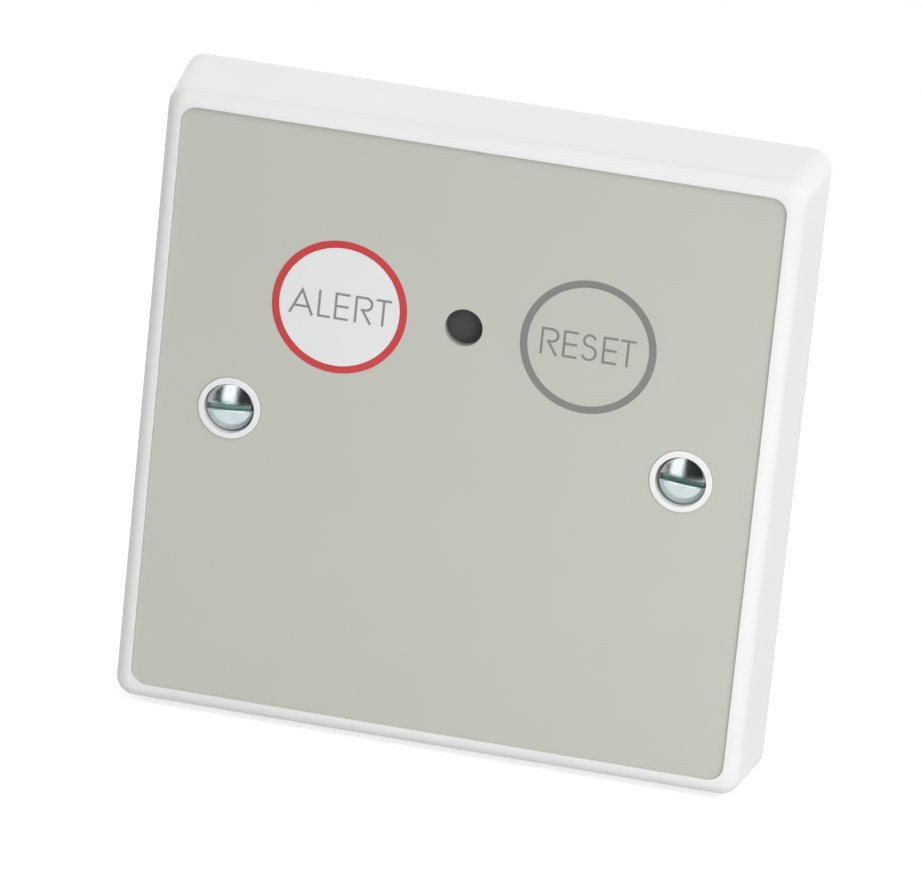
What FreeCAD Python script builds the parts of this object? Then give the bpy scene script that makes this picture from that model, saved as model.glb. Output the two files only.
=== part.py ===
import FreeCAD, Part
import math
import os
import re
import Sketcher

# Nurse call button on a single-gang wall plate: an ALERT key and a RESET key behind one printed film.
# The origin is the middle of the back rim, in the plane of the wall. X runs right, Z up, and the
# plate stands out from the wall towards -Y. A place "out" is a distance in front of the wall.

# Driving dimensions, in millimetres and degrees
SIZES = [
    ("plate_side", 86.0, "width and height of the plate at the wall"),
    ("plate_depth", 14.4, "how far the rim stands out from the wall"),
    ("side_draft", 3.8, "lean of the plate's sides, in degrees"),
    ("corner_round", 2.6, "radius of the plate's upright corners"),
    ("front_round", 2.0, "radius round the front edge"),
    ("side_wall", 2.2, "wall of the sides at the back rim"),
    ("front_wall", 2.0, "wall behind the film"),
    ("inner_round", 1.0, "radius of the hollow's corners"),
    ("inner_draft", 0.7, "lean of tubes, posts and ribs, in degrees"),
    ("film_side", 79.7, "width and height of the printed film"),
    ("film_corner", 2.0, "corner radius of the film"),
    ("film_thick", 0.25, "film with its adhesive"),
    ("film_sunk", 0.45, "face of the film below the rim"),
    ("film_gap", 0.15, "gap round the film's edges"),
    ("screw_pitch", 60.3, "between the two fixing screws"),
    ("collar_dia", 8.4, "raised collar round a fixing screw"),
    ("collar_proud", 0.25, "collar above the film"),
    ("collar_round", 0.2, "soft edge of the collar"),
    ("boss_dia", 8.2, "tube behind the collar"),
    ("boss_bore", 4.4, "clearance bore for the fixing screw"),
    ("boss_short", 0.6, "end of the tube in front of the wall"),
    ("head_dia", 6.6, "head of the fixing screw"),
    ("head_sunk", 1.1, "edge of the head below the collar"),
    ("head_land", 0.2, "straight edge of the head"),
    ("head_dome", 0.6, "rise of the domed head"),
    ("head_gap", 0.08, "clearance round the head"),
    ("seat_gap", 0.05, "clearance under the head's cone"),
    ("slot_wide", 0.8, "slot in the head"),
    ("slot_deep", 1.2, "depth of the slot below the crown"),
    ("slot_turn", 4.4, "turn of the slots from level, in degrees"),
    ("neck_dia", 3.1, "plain neck of the fixing screw"),
    ("thread_dia", 3.5, "thread of the fixing screw"),
    ("thread_start", 0.3, "first full thread in front of the wall"),
    ("thread_reach", 12.0, "tip of the fixing screw behind the wall plane"),
    ("tip_bevel", 0.6, "bevel at the screw's tip"),
    ("key_across", 33.0, "between the two keys"),
    ("key_rise", 16.0, "keys and port above the middle"),
    ("group_shift", 0.3, "keys and port left of the middle"),
    ("key_dia", 15.2, "face of a key"),
    ("key_gap", 0.2, "clearance round a key"),
    ("key_skin", 1.2, "wall of a key's face"),
    ("key_travel", 0.4, "travel of a key"),
    ("flange_dia", 17.4, "flange that keeps the key in"),
    ("flange_thick", 1.0, "thickness of the flange"),
    ("flange_gap", 0.05, "flange behind the plate's wall"),
    ("skirt_wall", 0.9, "wall of the key's skirt"),
    ("stalk_dia", 4.2, "stalk that presses the switch"),
    ("web_thick", 0.9, "webs between stalk and skirt"),
    ("web_count", 4, "webs in a key"),
    ("port_dia", 5.0, "sound port through film and plate"),
    ("port_wall", 1.9, "wall behind the film at the port"),
    ("gauze_dia", 11.0, "gauze behind the port"),
    ("gauze_thick", 0.2, "thickness of the gauze"),
    ("sounder_dia", 12.0, "sounder"),
    ("sounder_gap", 0.3, "clearance round the sounder"),
    ("sounder_wall", 0.8, "wall of the sounder's case"),
    ("sound_hole", 2.4, "hole in the sounder's face"),
    ("ring_wall", 0.9, "wall of the ring that holds the sounder"),
    ("ring_tall", 2.6, "height of that ring"),
    ("disc_thick", 0.3, "sounding disc"),
    ("disc_drop", 2.0, "sounding disc behind the face of its case"),
    ("ledge_wide", 0.6, "ledge that the sounding disc lies on"),
    ("plug_thick", 1.2, "base that closes the sounder"),
    ("pin_pitch", 6.5, "between the sounder's pins"),
    ("pin_dia", 0.6, "pins of the sounder"),
    ("pin_proud", 1.3, "pins past the board"),
    ("pin_gap", 0.2, "clearance round pins in the board"),
    ("post_dia", 5.4, "posts that carry the board"),
    ("post_length", 8.2, "length of the posts"),
    ("post_across", 42.0, "between the posts, across"),
    ("post_upright", 57.0, "between the posts, upright"),
    ("post_pilot", 2.0, "pilot hole in a post"),
    ("pilot_deep", 6.5, "depth of the pilot hole"),
    ("rib_thick", 1.2, "ribs inside the plate"),
    ("rib_tall", 6.0, "height of the ribs at the screw tubes"),
    ("fin_long", 16.4, "fins across the screw tubes"),
    ("fin_tall", 3.0, "height of those fins"),
    ("rib_low", 2.0, "height of the long ribs"),
    ("rib_pitch", 13.0, "between the long ribs"),
    ("rib_long", 30.0, "length of the long ribs"),
    ("rib_drop", 20.0, "middle of the long ribs below the middle"),
    ("ejector_dia", 4.0, "marks of the mould's ejector pins"),
    ("ejector_deep", 0.15, "depth of those marks"),
    ("ejector_across", 68.0, "between the marks, across"),
    ("ejector_upright", 44.0, "between the marks, upright"),
    ("board_wide", 50.0, "width of the circuit board"),
    ("board_tall", 66.0, "height of the circuit board"),
    ("board_thick", 1.6, "thickness of the circuit board"),
    ("board_corner", 2.0, "corner radius of the circuit board"),
    ("board_hole", 2.6, "screw holes in the board"),
    ("bscrew_core", 1.8, "core of a board screw"),
    ("bscrew_head", 4.4, "head of a board screw"),
    ("bscrew_rise", 1.6, "height of that head"),
    ("bscrew_long", 7.0, "length under the head"),
    ("bscrew_slot", 0.7, "width of the cross in the head"),
    ("bscrew_cross", 2.6, "span of that cross"),
    ("switch_side", 6.2, "side of a switch"),
    ("switch_bevel", 0.7, "bevelled corners of a switch"),
    ("switch_body", 3.1, "height of the switch's base"),
    ("switch_tall", 5.0, "top of the switch's stem"),
    ("cover_thick", 0.3, "metal cover of a switch"),
    ("cover_lap", 1.6, "cover folded down the sides"),
    ("lap_wide", 4.1, "width of those folds"),
    ("stem_dia", 3.4, "stem of a switch"),
    ("stem_foot", 4.4, "foot of the stem"),
    ("stem_gap", 0.2, "clearance round the stem"),
    ("well_dia", 5.0, "well in the switch's base"),
    ("well_floor", 0.8, "floor under the well"),
    ("dome_dia", 4.6, "snap dome"),
    ("dome_thick", 0.12, "sheet of the snap dome"),
    ("dome_flat", 0.3, "height of the snap dome, pressed flat"),
    ("leg_wide", 0.7, "legs of a switch"),
    ("leg_thick", 0.25, "sheet of the legs"),
    ("leg_pitch", 4.5, "between the legs"),
    ("leg_out", 1.4, "reach of the legs"),
    ("leg_rise", 0.6, "height at which the legs come out"),
    ("led_wide", 3.2, "lamp, across"),
    ("led_tall", 2.8, "lamp, upright"),
    ("led_high", 1.9, "lamp, off the board"),
    ("led_lens", 2.2, "clear window of a lamp"),
    ("led_dish", 0.6, "window's depth"),
    ("led_offset", 6.2, "lamps above and below the alert switch"),
    ("way_count", 4, "ways of the terminal block"),
    ("way_pitch", 5.0, "between the ways"),
    ("block_end", 0.4, "extra length of the block"),
    ("block_deep", 8.2, "block along the board"),
    ("block_high", 10.0, "block off the board"),
    ("block_slope", 2.6, "slope over the wire entries, off the board"),
    ("block_lean", 1.3, "that slope, along the board"),
    ("block_bevel", 0.65, "bevel along the block's other edge"),
    ("block_drop", 17.0, "block below the middle"),
    ("entry_wide", 3.9, "wire entry, across"),
    ("entry_high", 4.6, "wire entry, off the board"),
    ("entry_sill", 1.0, "sill under the entry"),
    ("entry_deep", 6.6, "depth of the entry"),
    ("screw_hole", 3.6, "driver hole over a clamp"),
    ("clamp_gap", 0.15, "clearance round a clamp"),
    ("clamp_wall", 0.5, "wall of a clamp"),
    ("clamp_deep", 4.4, "clamp along the entry"),
    ("clamp_inset", 1.6, "clamp inside the mouth"),
    ("tscrew_dia", 2.5, "thread of a clamp screw"),
    ("tscrew_head", 3.3, "head of a clamp screw"),
    ("tscrew_high", 1.4, "height of that head"),
    ("tscrew_reach", 1.5, "clamp screw past the clamp's roof"),
    ("tpin_side", 0.9, "pins of the terminal block"),
    ("tpin_proud", 1.2, "those pins past the board"),
    ("chip_long", 8.7, "control chip, along"),
    ("chip_wide", 3.9, "control chip, across"),
    ("chip_thick", 1.4, "control chip"),
    ("chip_bevel", 0.25, "bevelled edges of the chip"),
    ("chip_lift", 0.15, "chip off the board"),
    ("chip_leg_count", 14, "legs of the chip"),
    ("chip_pitch", 1.27, "between its legs"),
    ("chip_leg", 0.42, "width of a leg"),
    ("chip_knee", 0.47, "level part of a leg"),
    ("chip_reach", 1.05, "reach of a leg"),
    ("chip_left", 9.0, "chip left of the middle"),
    ("chip_up", 4.5, "chip above the middle"),
    ("can_dia", 6.3, "capacitor can"),
    ("can_tall", 6.6, "height of the can"),
    ("can_round", 0.5, "rounded end of the can"),
    ("can_right", 14.0, "capacitor right of the middle"),
    ("can_up", 4.5, "capacitor above the middle"),
    ("foot_side", 6.6, "plastic foot of the capacitor"),
    ("foot_thick", 0.9, "thickness of that foot"),
    ("foot_bevel", 1.3, "bevelled corners of that foot"),
    ("diode_long", 4.4, "diode, along"),
    ("diode_wide", 2.6, "diode, across"),
    ("diode_high", 2.0, "diode, off the board"),
    ("diode_bevel", 0.4, "bevelled edges of the diode"),
    ("diode_drop", 5.5, "diode below the middle"),
    ("resistor_long", 3.2, "resistor, along"),
    ("resistor_wide", 1.6, "resistor, across"),
    ("resistor_high", 0.6, "resistor, off the board"),
    ("resistor_pitch", 3.6, "between the resistors"),
    ("resistor_count", 4, "resistors in their row"),
    ("resistor_drop", 5.5, "resistors below the middle"),
    ("resistor_left", 15.0, "first resistor left of the middle"),
]

# Levels out from the wall and places across the plate, worked out from the sizes
LEVELS = [
    ("film_face", "plate_depth - film_sunk", "face of the film"),
    ("film_seat", "film_face - film_thick", "field that the film is stuck to"),
    ("inner_face", "film_seat - front_wall", "inner face of the front wall"),
    ("port_back", "film_seat - port_wall", "back of the wall at the sound port"),
    ("sounder_face", "port_back - gauze_thick", "face of the sounder"),
    ("collar_top", "film_face + collar_proud", "top of the collars"),
    ("head_edge", "collar_top - head_sunk", "edge of the fixing screws' heads"),
    ("head_ball", "((head_dia / 2)^2 + head_dome^2) / (2 * head_dome)", "radius of the domed head"),
    ("board_front", "inner_face - post_length", "front of the circuit board"),
    ("board_back", "board_front - board_thick", "back of the circuit board"),
    ("stem_top", "board_front + switch_tall", "top of the switch stems"),
    ("dome_rise", "dome_flat + key_travel", "height of the snap dome"),
    ("dome_ball", "((dome_dia / 2)^2 + (dome_rise - dome_thick)^2) / (2 * (dome_rise - dome_thick))",
     "radius of the snap dome's outer side"),
    ("dome_hollow", "((dome_dia / 2 - dome_thick)^2 + (dome_rise - dome_thick)^2)"
     " / (2 * (dome_rise - dome_thick))", "radius of its inner side"),
    ("tpin_hole", "tpin_side * sqrt(2) + pin_gap", "round hole for a square pin"),
    ("alert_x", "-key_across / 2 - group_shift", "alert key across the plate"),
    ("reset_x", "key_across / 2 - group_shift", "reset key across the plate"),
    ("port_x", "-group_shift", "sound port across the plate"),
    ("screw_x", "screw_pitch / 2", "fixing screw across the plate"),
    ("first_way", "-(way_count - 1) * way_pitch / 2", "first way of the terminal block"),
]

doc = FreeCAD.newDocument("nurse_call_button")
sheet = doc.addObject("Spreadsheet::Sheet", "Sizes")
sized = [(alias, str(number), note) for alias, number, note in SIZES]
worked_out = [(alias, f"={formula}", note) for alias, formula, note in LEVELS]
for row, (alias, content, note) in enumerate(sized + worked_out, start=1):
    sheet.set(f"A{row}", note)
    sheet.set(f"B{row}", content)
    sheet.setAlias(f"B{row}", alias)
doc.recompute()
ALIASES = {alias for alias, content, note in sized + worked_out}


def cells(text):
    """The text with each size's name written as its cell, so "plate_side / 2" is bound to the sheet."""
    return re.sub(r"[a-z_]+", lambda m: f"Sizes.{m[0]}" if m[0] in ALIASES else m[0], str(text))


def bind(thing, prop, text):
    """Tie a property to the sheet's cells."""
    thing.setExpression(prop, cells(text))


def size(alias):
    """The present value of one driving dimension."""
    return float(sheet.get(alias))


pieces = []


def new_body(label, x="0", z="0"):
    """One piece of the object, with its own origin in the wall plane at a place across and up."""
    body = doc.addObject("PartDesign::Body", label)
    body.Label = label
    bind(body, "Placement.Base.x", x)
    bind(body, "Placement.Base.z", z)
    pieces.append(body)
    return body


def new_sketch(body, plane, offset="0"):
    """A sketch on one of the body's own origin planes; on XZ_Plane the offset is a place out."""
    sketch = body.newObject("Sketcher::SketchObject", f"{body.Name}_outline")
    origin_plane = next(f for f in body.Origin.OriginFeatures if f.Role == plane)
    sketch.AttachmentSupport = [(origin_plane, "")]
    sketch.MapMode = "FlatFace"
    bind(sketch, "AttachmentOffset.Base.z", offset)
    return sketch


def fix_point(sketch, geometry, position, x, y):
    """Hold one point of the sketch at the distances x and y from its origin."""
    for kind, text in (("DistanceX", x), ("DistanceY", y)):
        index = sketch.addConstraint(Sketcher.Constraint(kind, -1, 1, geometry, position, 1.0))
        bind(sketch, f"Constraints[{index}]", text)


def polygon(sketch, points):
    """A closed outline of straight lines through the points."""
    count = len(points)
    first = sketch.GeometryCount
    for i in range(count):
        start = FreeCAD.Vector(i, i * i, 0)
        end = FreeCAD.Vector((i + 1) % count, ((i + 1) % count) ** 2, 0)
        sketch.addGeometry(Part.LineSegment(start, end), False)
    for i in range(count):
        following = first + (i + 1) % count
        sketch.addConstraint(Sketcher.Constraint("Coincident", first + i, 2, following, 1))
    for i, (x, y) in enumerate(points):
        fix_point(sketch, first + i, 1, x, y)


def rectangle(sketch, width, height, x="0", y="0"):
    """A rectangle about its middle."""
    corners = ((-1, -1), (1, -1), (1, 1), (-1, 1))
    polygon(sketch, [(f"{x} + {i} * ({width}) / 2", f"{y} + {j} * ({height}) / 2") for i, j in corners])


def bevelled(sketch, width, height, bevel):
    """A rectangle about the origin with its four corners cut off."""
    right, top = f"({width}) / 2", f"({height}) / 2"
    points = []
    for i, j, upright_first in ((1, 1, True), (-1, 1, False), (-1, -1, True), (1, -1, False)):
        on_side = (f"{i} * {right}", f"{j} * ({top} - {bevel})")
        on_end = (f"{i} * ({right} - {bevel})", f"{j} * {top}")
        points += [on_side, on_end] if upright_first else [on_end, on_side]
    polygon(sketch, points)


def rounded_square(sketch, side, radius):
    """A square about the origin with its corners rounded by arcs. It is drawn at a rough size first,
    and its constraints then give it the right one."""
    rough_middle, rough_round = 8, 2
    corners = ((1, 1), (-1, 1), (-1, -1), (1, -1))
    middles = [FreeCAD.Vector(i, j, 0) * rough_middle for i, j in corners]
    for index, middle in enumerate(middles):
        start, end = math.pi / 2 * index, math.pi / 2 * (index + 1)
        round_corner = Part.Circle(middle, FreeCAD.Vector(0, 0, 1), rough_round)
        sketch.addGeometry(Part.ArcOfCircle(round_corner, start, end), False)
        outwards = FreeCAD.Vector(math.cos(end), math.sin(end), 0) * rough_round
        following = middles[(index + 1) % len(middles)]
        sketch.addGeometry(Part.LineSegment(middle + outwards, following + outwards), False)
    for index, (i, j) in enumerate(corners):
        arc, line = 2 * index, 2 * index + 1
        next_arc = (2 * index + 2) % (2 * len(corners))
        sketch.addConstraint(Sketcher.Constraint("Tangent", arc, 2, line, 1))
        sketch.addConstraint(Sketcher.Constraint("Tangent", line, 2, next_arc, 1))
        fix_point(sketch, arc, 3, f"{i} * (({side}) / 2 - ({radius}))", f"{j} * (({side}) / 2 - ({radius}))")
        index = sketch.addConstraint(Sketcher.Constraint("Radius", arc, 2.0))
        bind(sketch, f"Constraints[{index}]", radius)


def circle(sketch, diameter, x="0", y="0"):
    """A circle about a point."""
    index = sketch.GeometryCount
    sketch.addGeometry(Part.Circle(FreeCAD.Vector(index, 1, 0), FreeCAD.Vector(0, 0, 1), 1.0), False)
    fix_point(sketch, index, 3, x, y)
    radius = sketch.addConstraint(Sketcher.Constraint("Radius", index, 1.0))
    bind(sketch, f"Constraints[{radius}]", f"({diameter}) / 2")


def pad(body, sketch, length, flip=False):
    """Material from the sketch's plane, outwards unless flipped."""
    feature = body.newObject("PartDesign::Pad", f"{body.Name}_pad")
    feature.Profile = sketch
    bind(feature, "Length", length)
    feature.Reversed = flip
    sketch.Visibility = False
    return feature


def cut(body, sketch, depth=None, flip=False):
    """A recess from the sketch's plane towards the wall, or outwards if flipped; no depth goes through."""
    doc.recompute()
    before = body.Shape.Volume
    feature = body.newObject("PartDesign::Pocket", f"{body.Name}_cut")
    feature.Profile = sketch
    feature.Reversed = flip
    if depth is None:
        feature.Type = "ThroughAll"
    else:
        bind(feature, "Length", depth)
    doc.recompute()
    if not body.Shape.Volume < before:
        raise ValueError(f"a recess of {body.Label} takes nothing away")
    return feature


def crown_arc(sketch, line, radius):
    """Put an arc of a given radius in place of a line of a solved outline, bulging away from the wall."""
    doc.recompute()
    start, end = (FreeCAD.Vector(sketch.getPoint(line, which)) for which in (1, 2))
    ball = size(radius)
    middle = FreeCAD.Vector(start.x, start.y + ball, 0)
    towards = (start + end) / 2 - middle
    between = middle + towards.normalize() * ball
    sketch.toggleConstruction(line)
    arc = sketch.GeometryCount
    sketch.addGeometry(Part.Arc(end, between, start), False)
    first_end = 1 if (sketch.getPoint(arc, 1) - start).Length < (sketch.getPoint(arc, 2) - start).Length else 2
    sketch.addConstraint(Sketcher.Constraint("Coincident", arc, first_end, line, 1))
    sketch.addConstraint(Sketcher.Constraint("Coincident", arc, 3 - first_end, line, 2))
    index = sketch.addConstraint(Sketcher.Constraint("Radius", arc, ball))
    bind(sketch, f"Constraints[{index}]", radius)


def turn(body, points, axis_x=None, groove=False, crown=None):
    """A form turned about an axis square to the wall, from a half profile of (radius, out) points.
    With a crown, the first stretch of the profile is an arc of that radius."""
    sketch = new_sketch(body, "XY_Plane")
    axis = "V_Axis"
    if axis_x:
        line = Part.LineSegment(FreeCAD.Vector(1, 0, 0), FreeCAD.Vector(1, 5, 0))
        sketch.addGeometry(line, True)
        fix_point(sketch, 0, 1, axis_x, "0")
        fix_point(sketch, 0, 2, axis_x, "plate_depth")
        axis = "Axis0"
    first = sketch.GeometryCount
    polygon(sketch, [(f"{axis_x or 0} + {radius}", f"-({out})") for radius, out in points])
    if crown:
        crown_arc(sketch, first, crown)
    kind = "PartDesign::Groove" if groove else "PartDesign::Revolution"
    feature = body.newObject(kind, f"{body.Name}_turned")
    feature.Profile = sketch
    feature.ReferenceAxis = (sketch, [axis])
    feature.Angle = 360
    return feature


def edges_where(feature, test):
    """Names of the feature's edges whose corner points all pass the test."""
    doc.recompute()
    found = []
    for i, edge in enumerate(feature.Shape.Edges, start=1):
        if all(test(corner.Point) for corner in edge.Vertexes):
            found.append(f"Edge{i}")
    return found


def rim_edges(feature):
    """Names of the round edges at the end of a feature that lies furthest into the wall."""
    doc.recompute()
    deepest = max(v.Point.y for v in feature.Shape.Vertexes)
    return edges_where(feature, lambda p: near(p.y, deepest))


def soften(body, feature, names, radius, kind="Fillet"):
    """Round or bevel the named edges."""
    if not names:
        raise ValueError(f"no edge of {body.Label} was found to soften")
    softened = body.newObject(f"PartDesign::{kind}", f"{body.Name}_edge")
    softened.Base = (feature, names)
    bind(softened, "Radius" if kind == "Fillet" else "Size", radius)
    return softened


def upright_edges(feature):
    """Names of the edges that run from back to front."""
    doc.recompute()
    found = []
    for i, edge in enumerate(feature.Shape.Edges, start=1):
        outs = [corner.Point.y for corner in edge.Vertexes]
        if max(outs) - min(outs) > 1e-3:
            found.append(f"Edge{i}")
    return found


def mirror(body, originals):
    """Repeat features on the other side of the plate's upright middle plane."""
    doc.recompute()
    twin = body.newObject("PartDesign::Mirrored", f"{body.Name}_twin")
    twin.Originals = originals
    twin.MirrorPlane = (next(f for f in body.Origin.OriginFeatures if f.Role == "YZ_Plane"), [""])
    body.Tip = twin
    return twin


def near(value, target, slack=1e-3):
    return abs(value - target) < slack


def make_faceplate():
    """Moulded plate: a shallow box, open at the back, with a sunk field on its front for the film."""
    body = new_body("faceplate")

    # Outer form: a square block that leans in towards the front, with round corners and front edge
    outline = new_sketch(body, "XZ_Plane")
    rectangle(outline, "plate_side", "plate_side")
    block = pad(body, outline, "plate_depth")
    bind(block, "TaperAngle", "-side_draft")
    corners = soften(body, block, upright_edges(block), "corner_round")
    front = -size("plate_depth")
    front_loop = edges_where(corners, lambda p: near(p.y, front))
    soften(body, corners, front_loop, "front_round")

    # Hollow from the back, with the same lean as the sides
    hollow = new_sketch(body, "XZ_Plane")
    rectangle(hollow, "plate_side - 2 * side_wall", "plate_side - 2 * side_wall")
    hollowed = cut(body, hollow, "inner_face", flip=True)
    bind(hollowed, "TaperAngle", "-side_draft")
    doc.recompute()
    inside = size("plate_side") / 2 - size("side_wall")

    def inner_corner(edge):
        outs = [v.Point.y for v in edge.Vertexes]
        within = all(abs(v.Point.x) < inside + 1e-3 and abs(v.Point.z) < inside + 1e-3 for v in edge.Vertexes)
        return within and max(outs) - min(outs) > 1.0

    inner = [f"Edge{i}" for i, e in enumerate(hollowed.Shape.Edges, start=1) if inner_corner(e)]
    soften(body, hollowed, inner, "inner_round")

    # Tubes for the fixing screws, posts for the board, the ring for the sounder and ribs. All stand on
    # the inner face and widen a little towards it, so that the moulding leaves its tool
    def stand(draw, start):
        sketch = new_sketch(body, "XZ_Plane", start)
        draw(sketch)
        stood = pad(body, sketch, f"inner_face + front_wall / 2 - ({start})")
        bind(stood, "TaperAngle", "inner_draft")

    def tubes(sketch):
        for side in (-1, 1):
            circle(sketch, "boss_dia", f"{side} * screw_x")

    def posts(sketch):
        for i in (-1, 1):
            for j in (-1, 1):
                circle(sketch, "post_dia", f"{i} * post_across / 2", f"{j} * post_upright / 2")

    def ring(sketch):
        circle(sketch, "sounder_dia + 2 * sounder_gap + 2 * ring_wall", "port_x", "key_rise")

    def tube_ribs(sketch):
        reach = "(plate_side / 2 - side_wall - screw_x)"
        for side in (-1, 1):
            rectangle(sketch, reach, "rib_thick", f"{side} * (screw_x + {reach} / 2)")

    def tube_fins(sketch):
        for side in (-1, 1):
            rectangle(sketch, "rib_thick", "fin_long", f"{side} * screw_x")

    def long_ribs(sketch):
        for side in (-1, 0, 1):
            rectangle(sketch, "rib_thick", "rib_long", f"{side} * rib_pitch", "-rib_drop")

    stand(tubes, "boss_short")
    stand(posts, "board_front")
    stand(ring, "inner_face - ring_tall")
    stand(tube_ribs, "inner_face - rib_tall")
    stand(tube_fins, "inner_face - fin_tall")
    stand(long_ribs, "inner_face - rib_low")

    # Sunk field for the film
    field = new_sketch(body, "XZ_Plane", "plate_depth")
    rounded_square(field, "film_side + 2 * film_gap", "film_corner + film_gap")
    cut(body, field, "film_sunk + film_thick")

    # Collars round the fixing screws, seen through the film's holes
    collars = new_sketch(body, "XZ_Plane", "film_seat - front_wall / 2")
    for side in (-1, 1):
        circle(collars, "collar_dia", f"{side} * screw_x")
    collar = pad(body, collars, "front_wall / 2 + film_thick + collar_proud")
    collar_edges = edges_where(collar, lambda p: near(p.y, -size("collar_top")))
    soften(body, collar, collar_edges, "collar_round")

    # Bores: fixing screws, keys, sound port, the sounder's nest and the board screws' pilots
    bores = new_sketch(body, "XZ_Plane", "plate_depth")
    for side in (-1, 1):
        circle(bores, "boss_bore", f"{side} * screw_x")
    cut(body, bores)
    sink_radius = "(head_dia / 2 + head_gap)"
    seat_end = "head_edge - head_land - (head_dia - neck_dia) / 2 - seat_gap"
    sink = turn(body, [
        ("0", "collar_top + head_dome"),
        (sink_radius, "collar_top + head_dome"),
        (sink_radius, "head_edge - head_land + head_gap - seat_gap"),
        ("neck_dia / 2", seat_end),
        ("0", seat_end),
    ], axis_x="screw_x", groove=True)
    mirror(body, [sink])

    windows = new_sketch(body, "XZ_Plane", "plate_depth")
    for x in ("alert_x", "reset_x"):
        circle(windows, "key_dia + 2 * key_gap", x, "key_rise")
    circle(windows, "port_dia", "port_x", "key_rise")
    cut(body, windows)
    nest = new_sketch(body, "XZ_Plane", "inner_face - ring_tall")
    circle(nest, "sounder_dia + 2 * sounder_gap", "port_x", "key_rise")
    cut(body, nest, "port_back - inner_face + ring_tall", flip=True)
    pilots = new_sketch(body, "XZ_Plane", "board_front")
    for i in (-1, 1):
        for j in (-1, 1):
            circle(pilots, "post_pilot", f"{i} * post_across / 2", f"{j} * post_upright / 2")
    cut(body, pilots, "pilot_deep", flip=True)

    # Shallow round marks where the ejector pins pushed the moulding off its core
    marks = new_sketch(body, "XZ_Plane", "inner_face")
    for i in (-1, 1):
        for j in (-1, 1):
            circle(marks, "ejector_dia", f"{i} * ejector_across / 2", f"{j} * ejector_upright / 2")
    cut(body, marks, "ejector_deep", flip=True)


def make_overlay_film():
    """Printed polyester film, stuck into the sunk field, with holes for the collars and the port."""
    body = new_body("overlay_film")
    sheet_outline = new_sketch(body, "XZ_Plane", "film_seat")
    rectangle(sheet_outline, "film_side", "film_side")
    film = pad(body, sheet_outline, "film_thick")
    soften(body, film, upright_edges(film), "film_corner")
    holes = new_sketch(body, "XZ_Plane", "film_face")
    for side in (-1, 1):
        circle(holes, "collar_dia + 2 * film_gap", f"{side} * screw_x")
    circle(holes, "port_dia", "port_x", "key_rise")
    cut(body, holes)


def make_fixing_screws():
    """Two raised countersunk slotted screws, plated steel, through the collars into the wall box."""
    body = new_body("fixing_screws")
    cone_end = "head_edge - head_land - (head_dia - neck_dia) / 2"
    shape = turn(body, [
        ("0", "head_edge + head_dome"),
        ("head_dia / 2", "head_edge"),
        ("head_dia / 2", "head_edge - head_land"),
        ("neck_dia / 2", cone_end),
        ("neck_dia / 2", "thread_start + (thread_dia - neck_dia) / 2"),
        ("thread_dia / 2", "thread_start"),
        ("thread_dia / 2", "tip_bevel - thread_reach"),
        ("thread_dia / 2 - tip_bevel", "-thread_reach"),
        ("0", "-thread_reach"),
    ], axis_x="screw_x", crown="head_ball")

    # Slot across the head, turned a little from level
    slot = new_sketch(body, "XZ_Plane", "head_edge + head_dome")
    corners = ((-1, -1), (1, -1), (1, 1), (-1, 1))
    polygon(slot, [
        (f"screw_x + {i} * head_dia * cos(slot_turn) + {j} * slot_wide / 2 * sin(slot_turn)",
         f"-{i} * head_dia * sin(slot_turn) + {j} * slot_wide / 2 * cos(slot_turn)")
        for i, j in corners
    ])
    slotted = cut(body, slot, "slot_deep")
    mirror(body, [shape, slotted])


def make_key(label, x):
    """Moulded key: a flat face in its bore, a flange behind the wall, and a stalk down to the switch."""
    body = new_body(label, x, "key_rise")
    flange_front = "(inner_face - flange_gap)"
    flange_back = f"({flange_front} - flange_thick)"
    roof = "(film_seat - key_skin)"
    turn(body, [
        ("0", "film_seat"),
        ("key_dia / 2", "film_seat"),
        ("key_dia / 2", flange_front),
        ("flange_dia / 2", flange_front),
        ("flange_dia / 2", flange_back),
        ("key_dia / 2 - skirt_wall", flange_back),
        ("key_dia / 2 - skirt_wall", roof),
        ("stalk_dia / 2", roof),
        ("stalk_dia / 2", "stem_top"),
        ("0", "stem_top"),
    ])
    webs = new_sketch(body, "XZ_Plane", flange_back)
    reach = "(key_dia / 2 - skirt_wall / 2)"
    rectangle(webs, reach, "web_thick", f"{reach} / 2")
    web = pad(body, webs, f"{roof} - {flange_back} + key_skin / 2")
    doc.recompute()
    spread = body.newObject("PartDesign::PolarPattern", f"{label}_webs")
    spread.Originals = [web]
    spread.Axis = (next(f for f in body.Origin.OriginFeatures if f.Role == "Y_Axis"), [""])
    spread.Angle = 360
    bind(spread, "Occurrences", "web_count")
    body.Tip = spread


def make_port_gauze():
    """Round of black woven gauze, stuck behind the sound port against dust."""
    body = new_body("port_gauze", "port_x", "key_rise")
    sketch = new_sketch(body, "XZ_Plane", "sounder_face")
    circle(sketch, "gauze_dia")
    pad(body, sketch, "gauze_thick")


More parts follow.
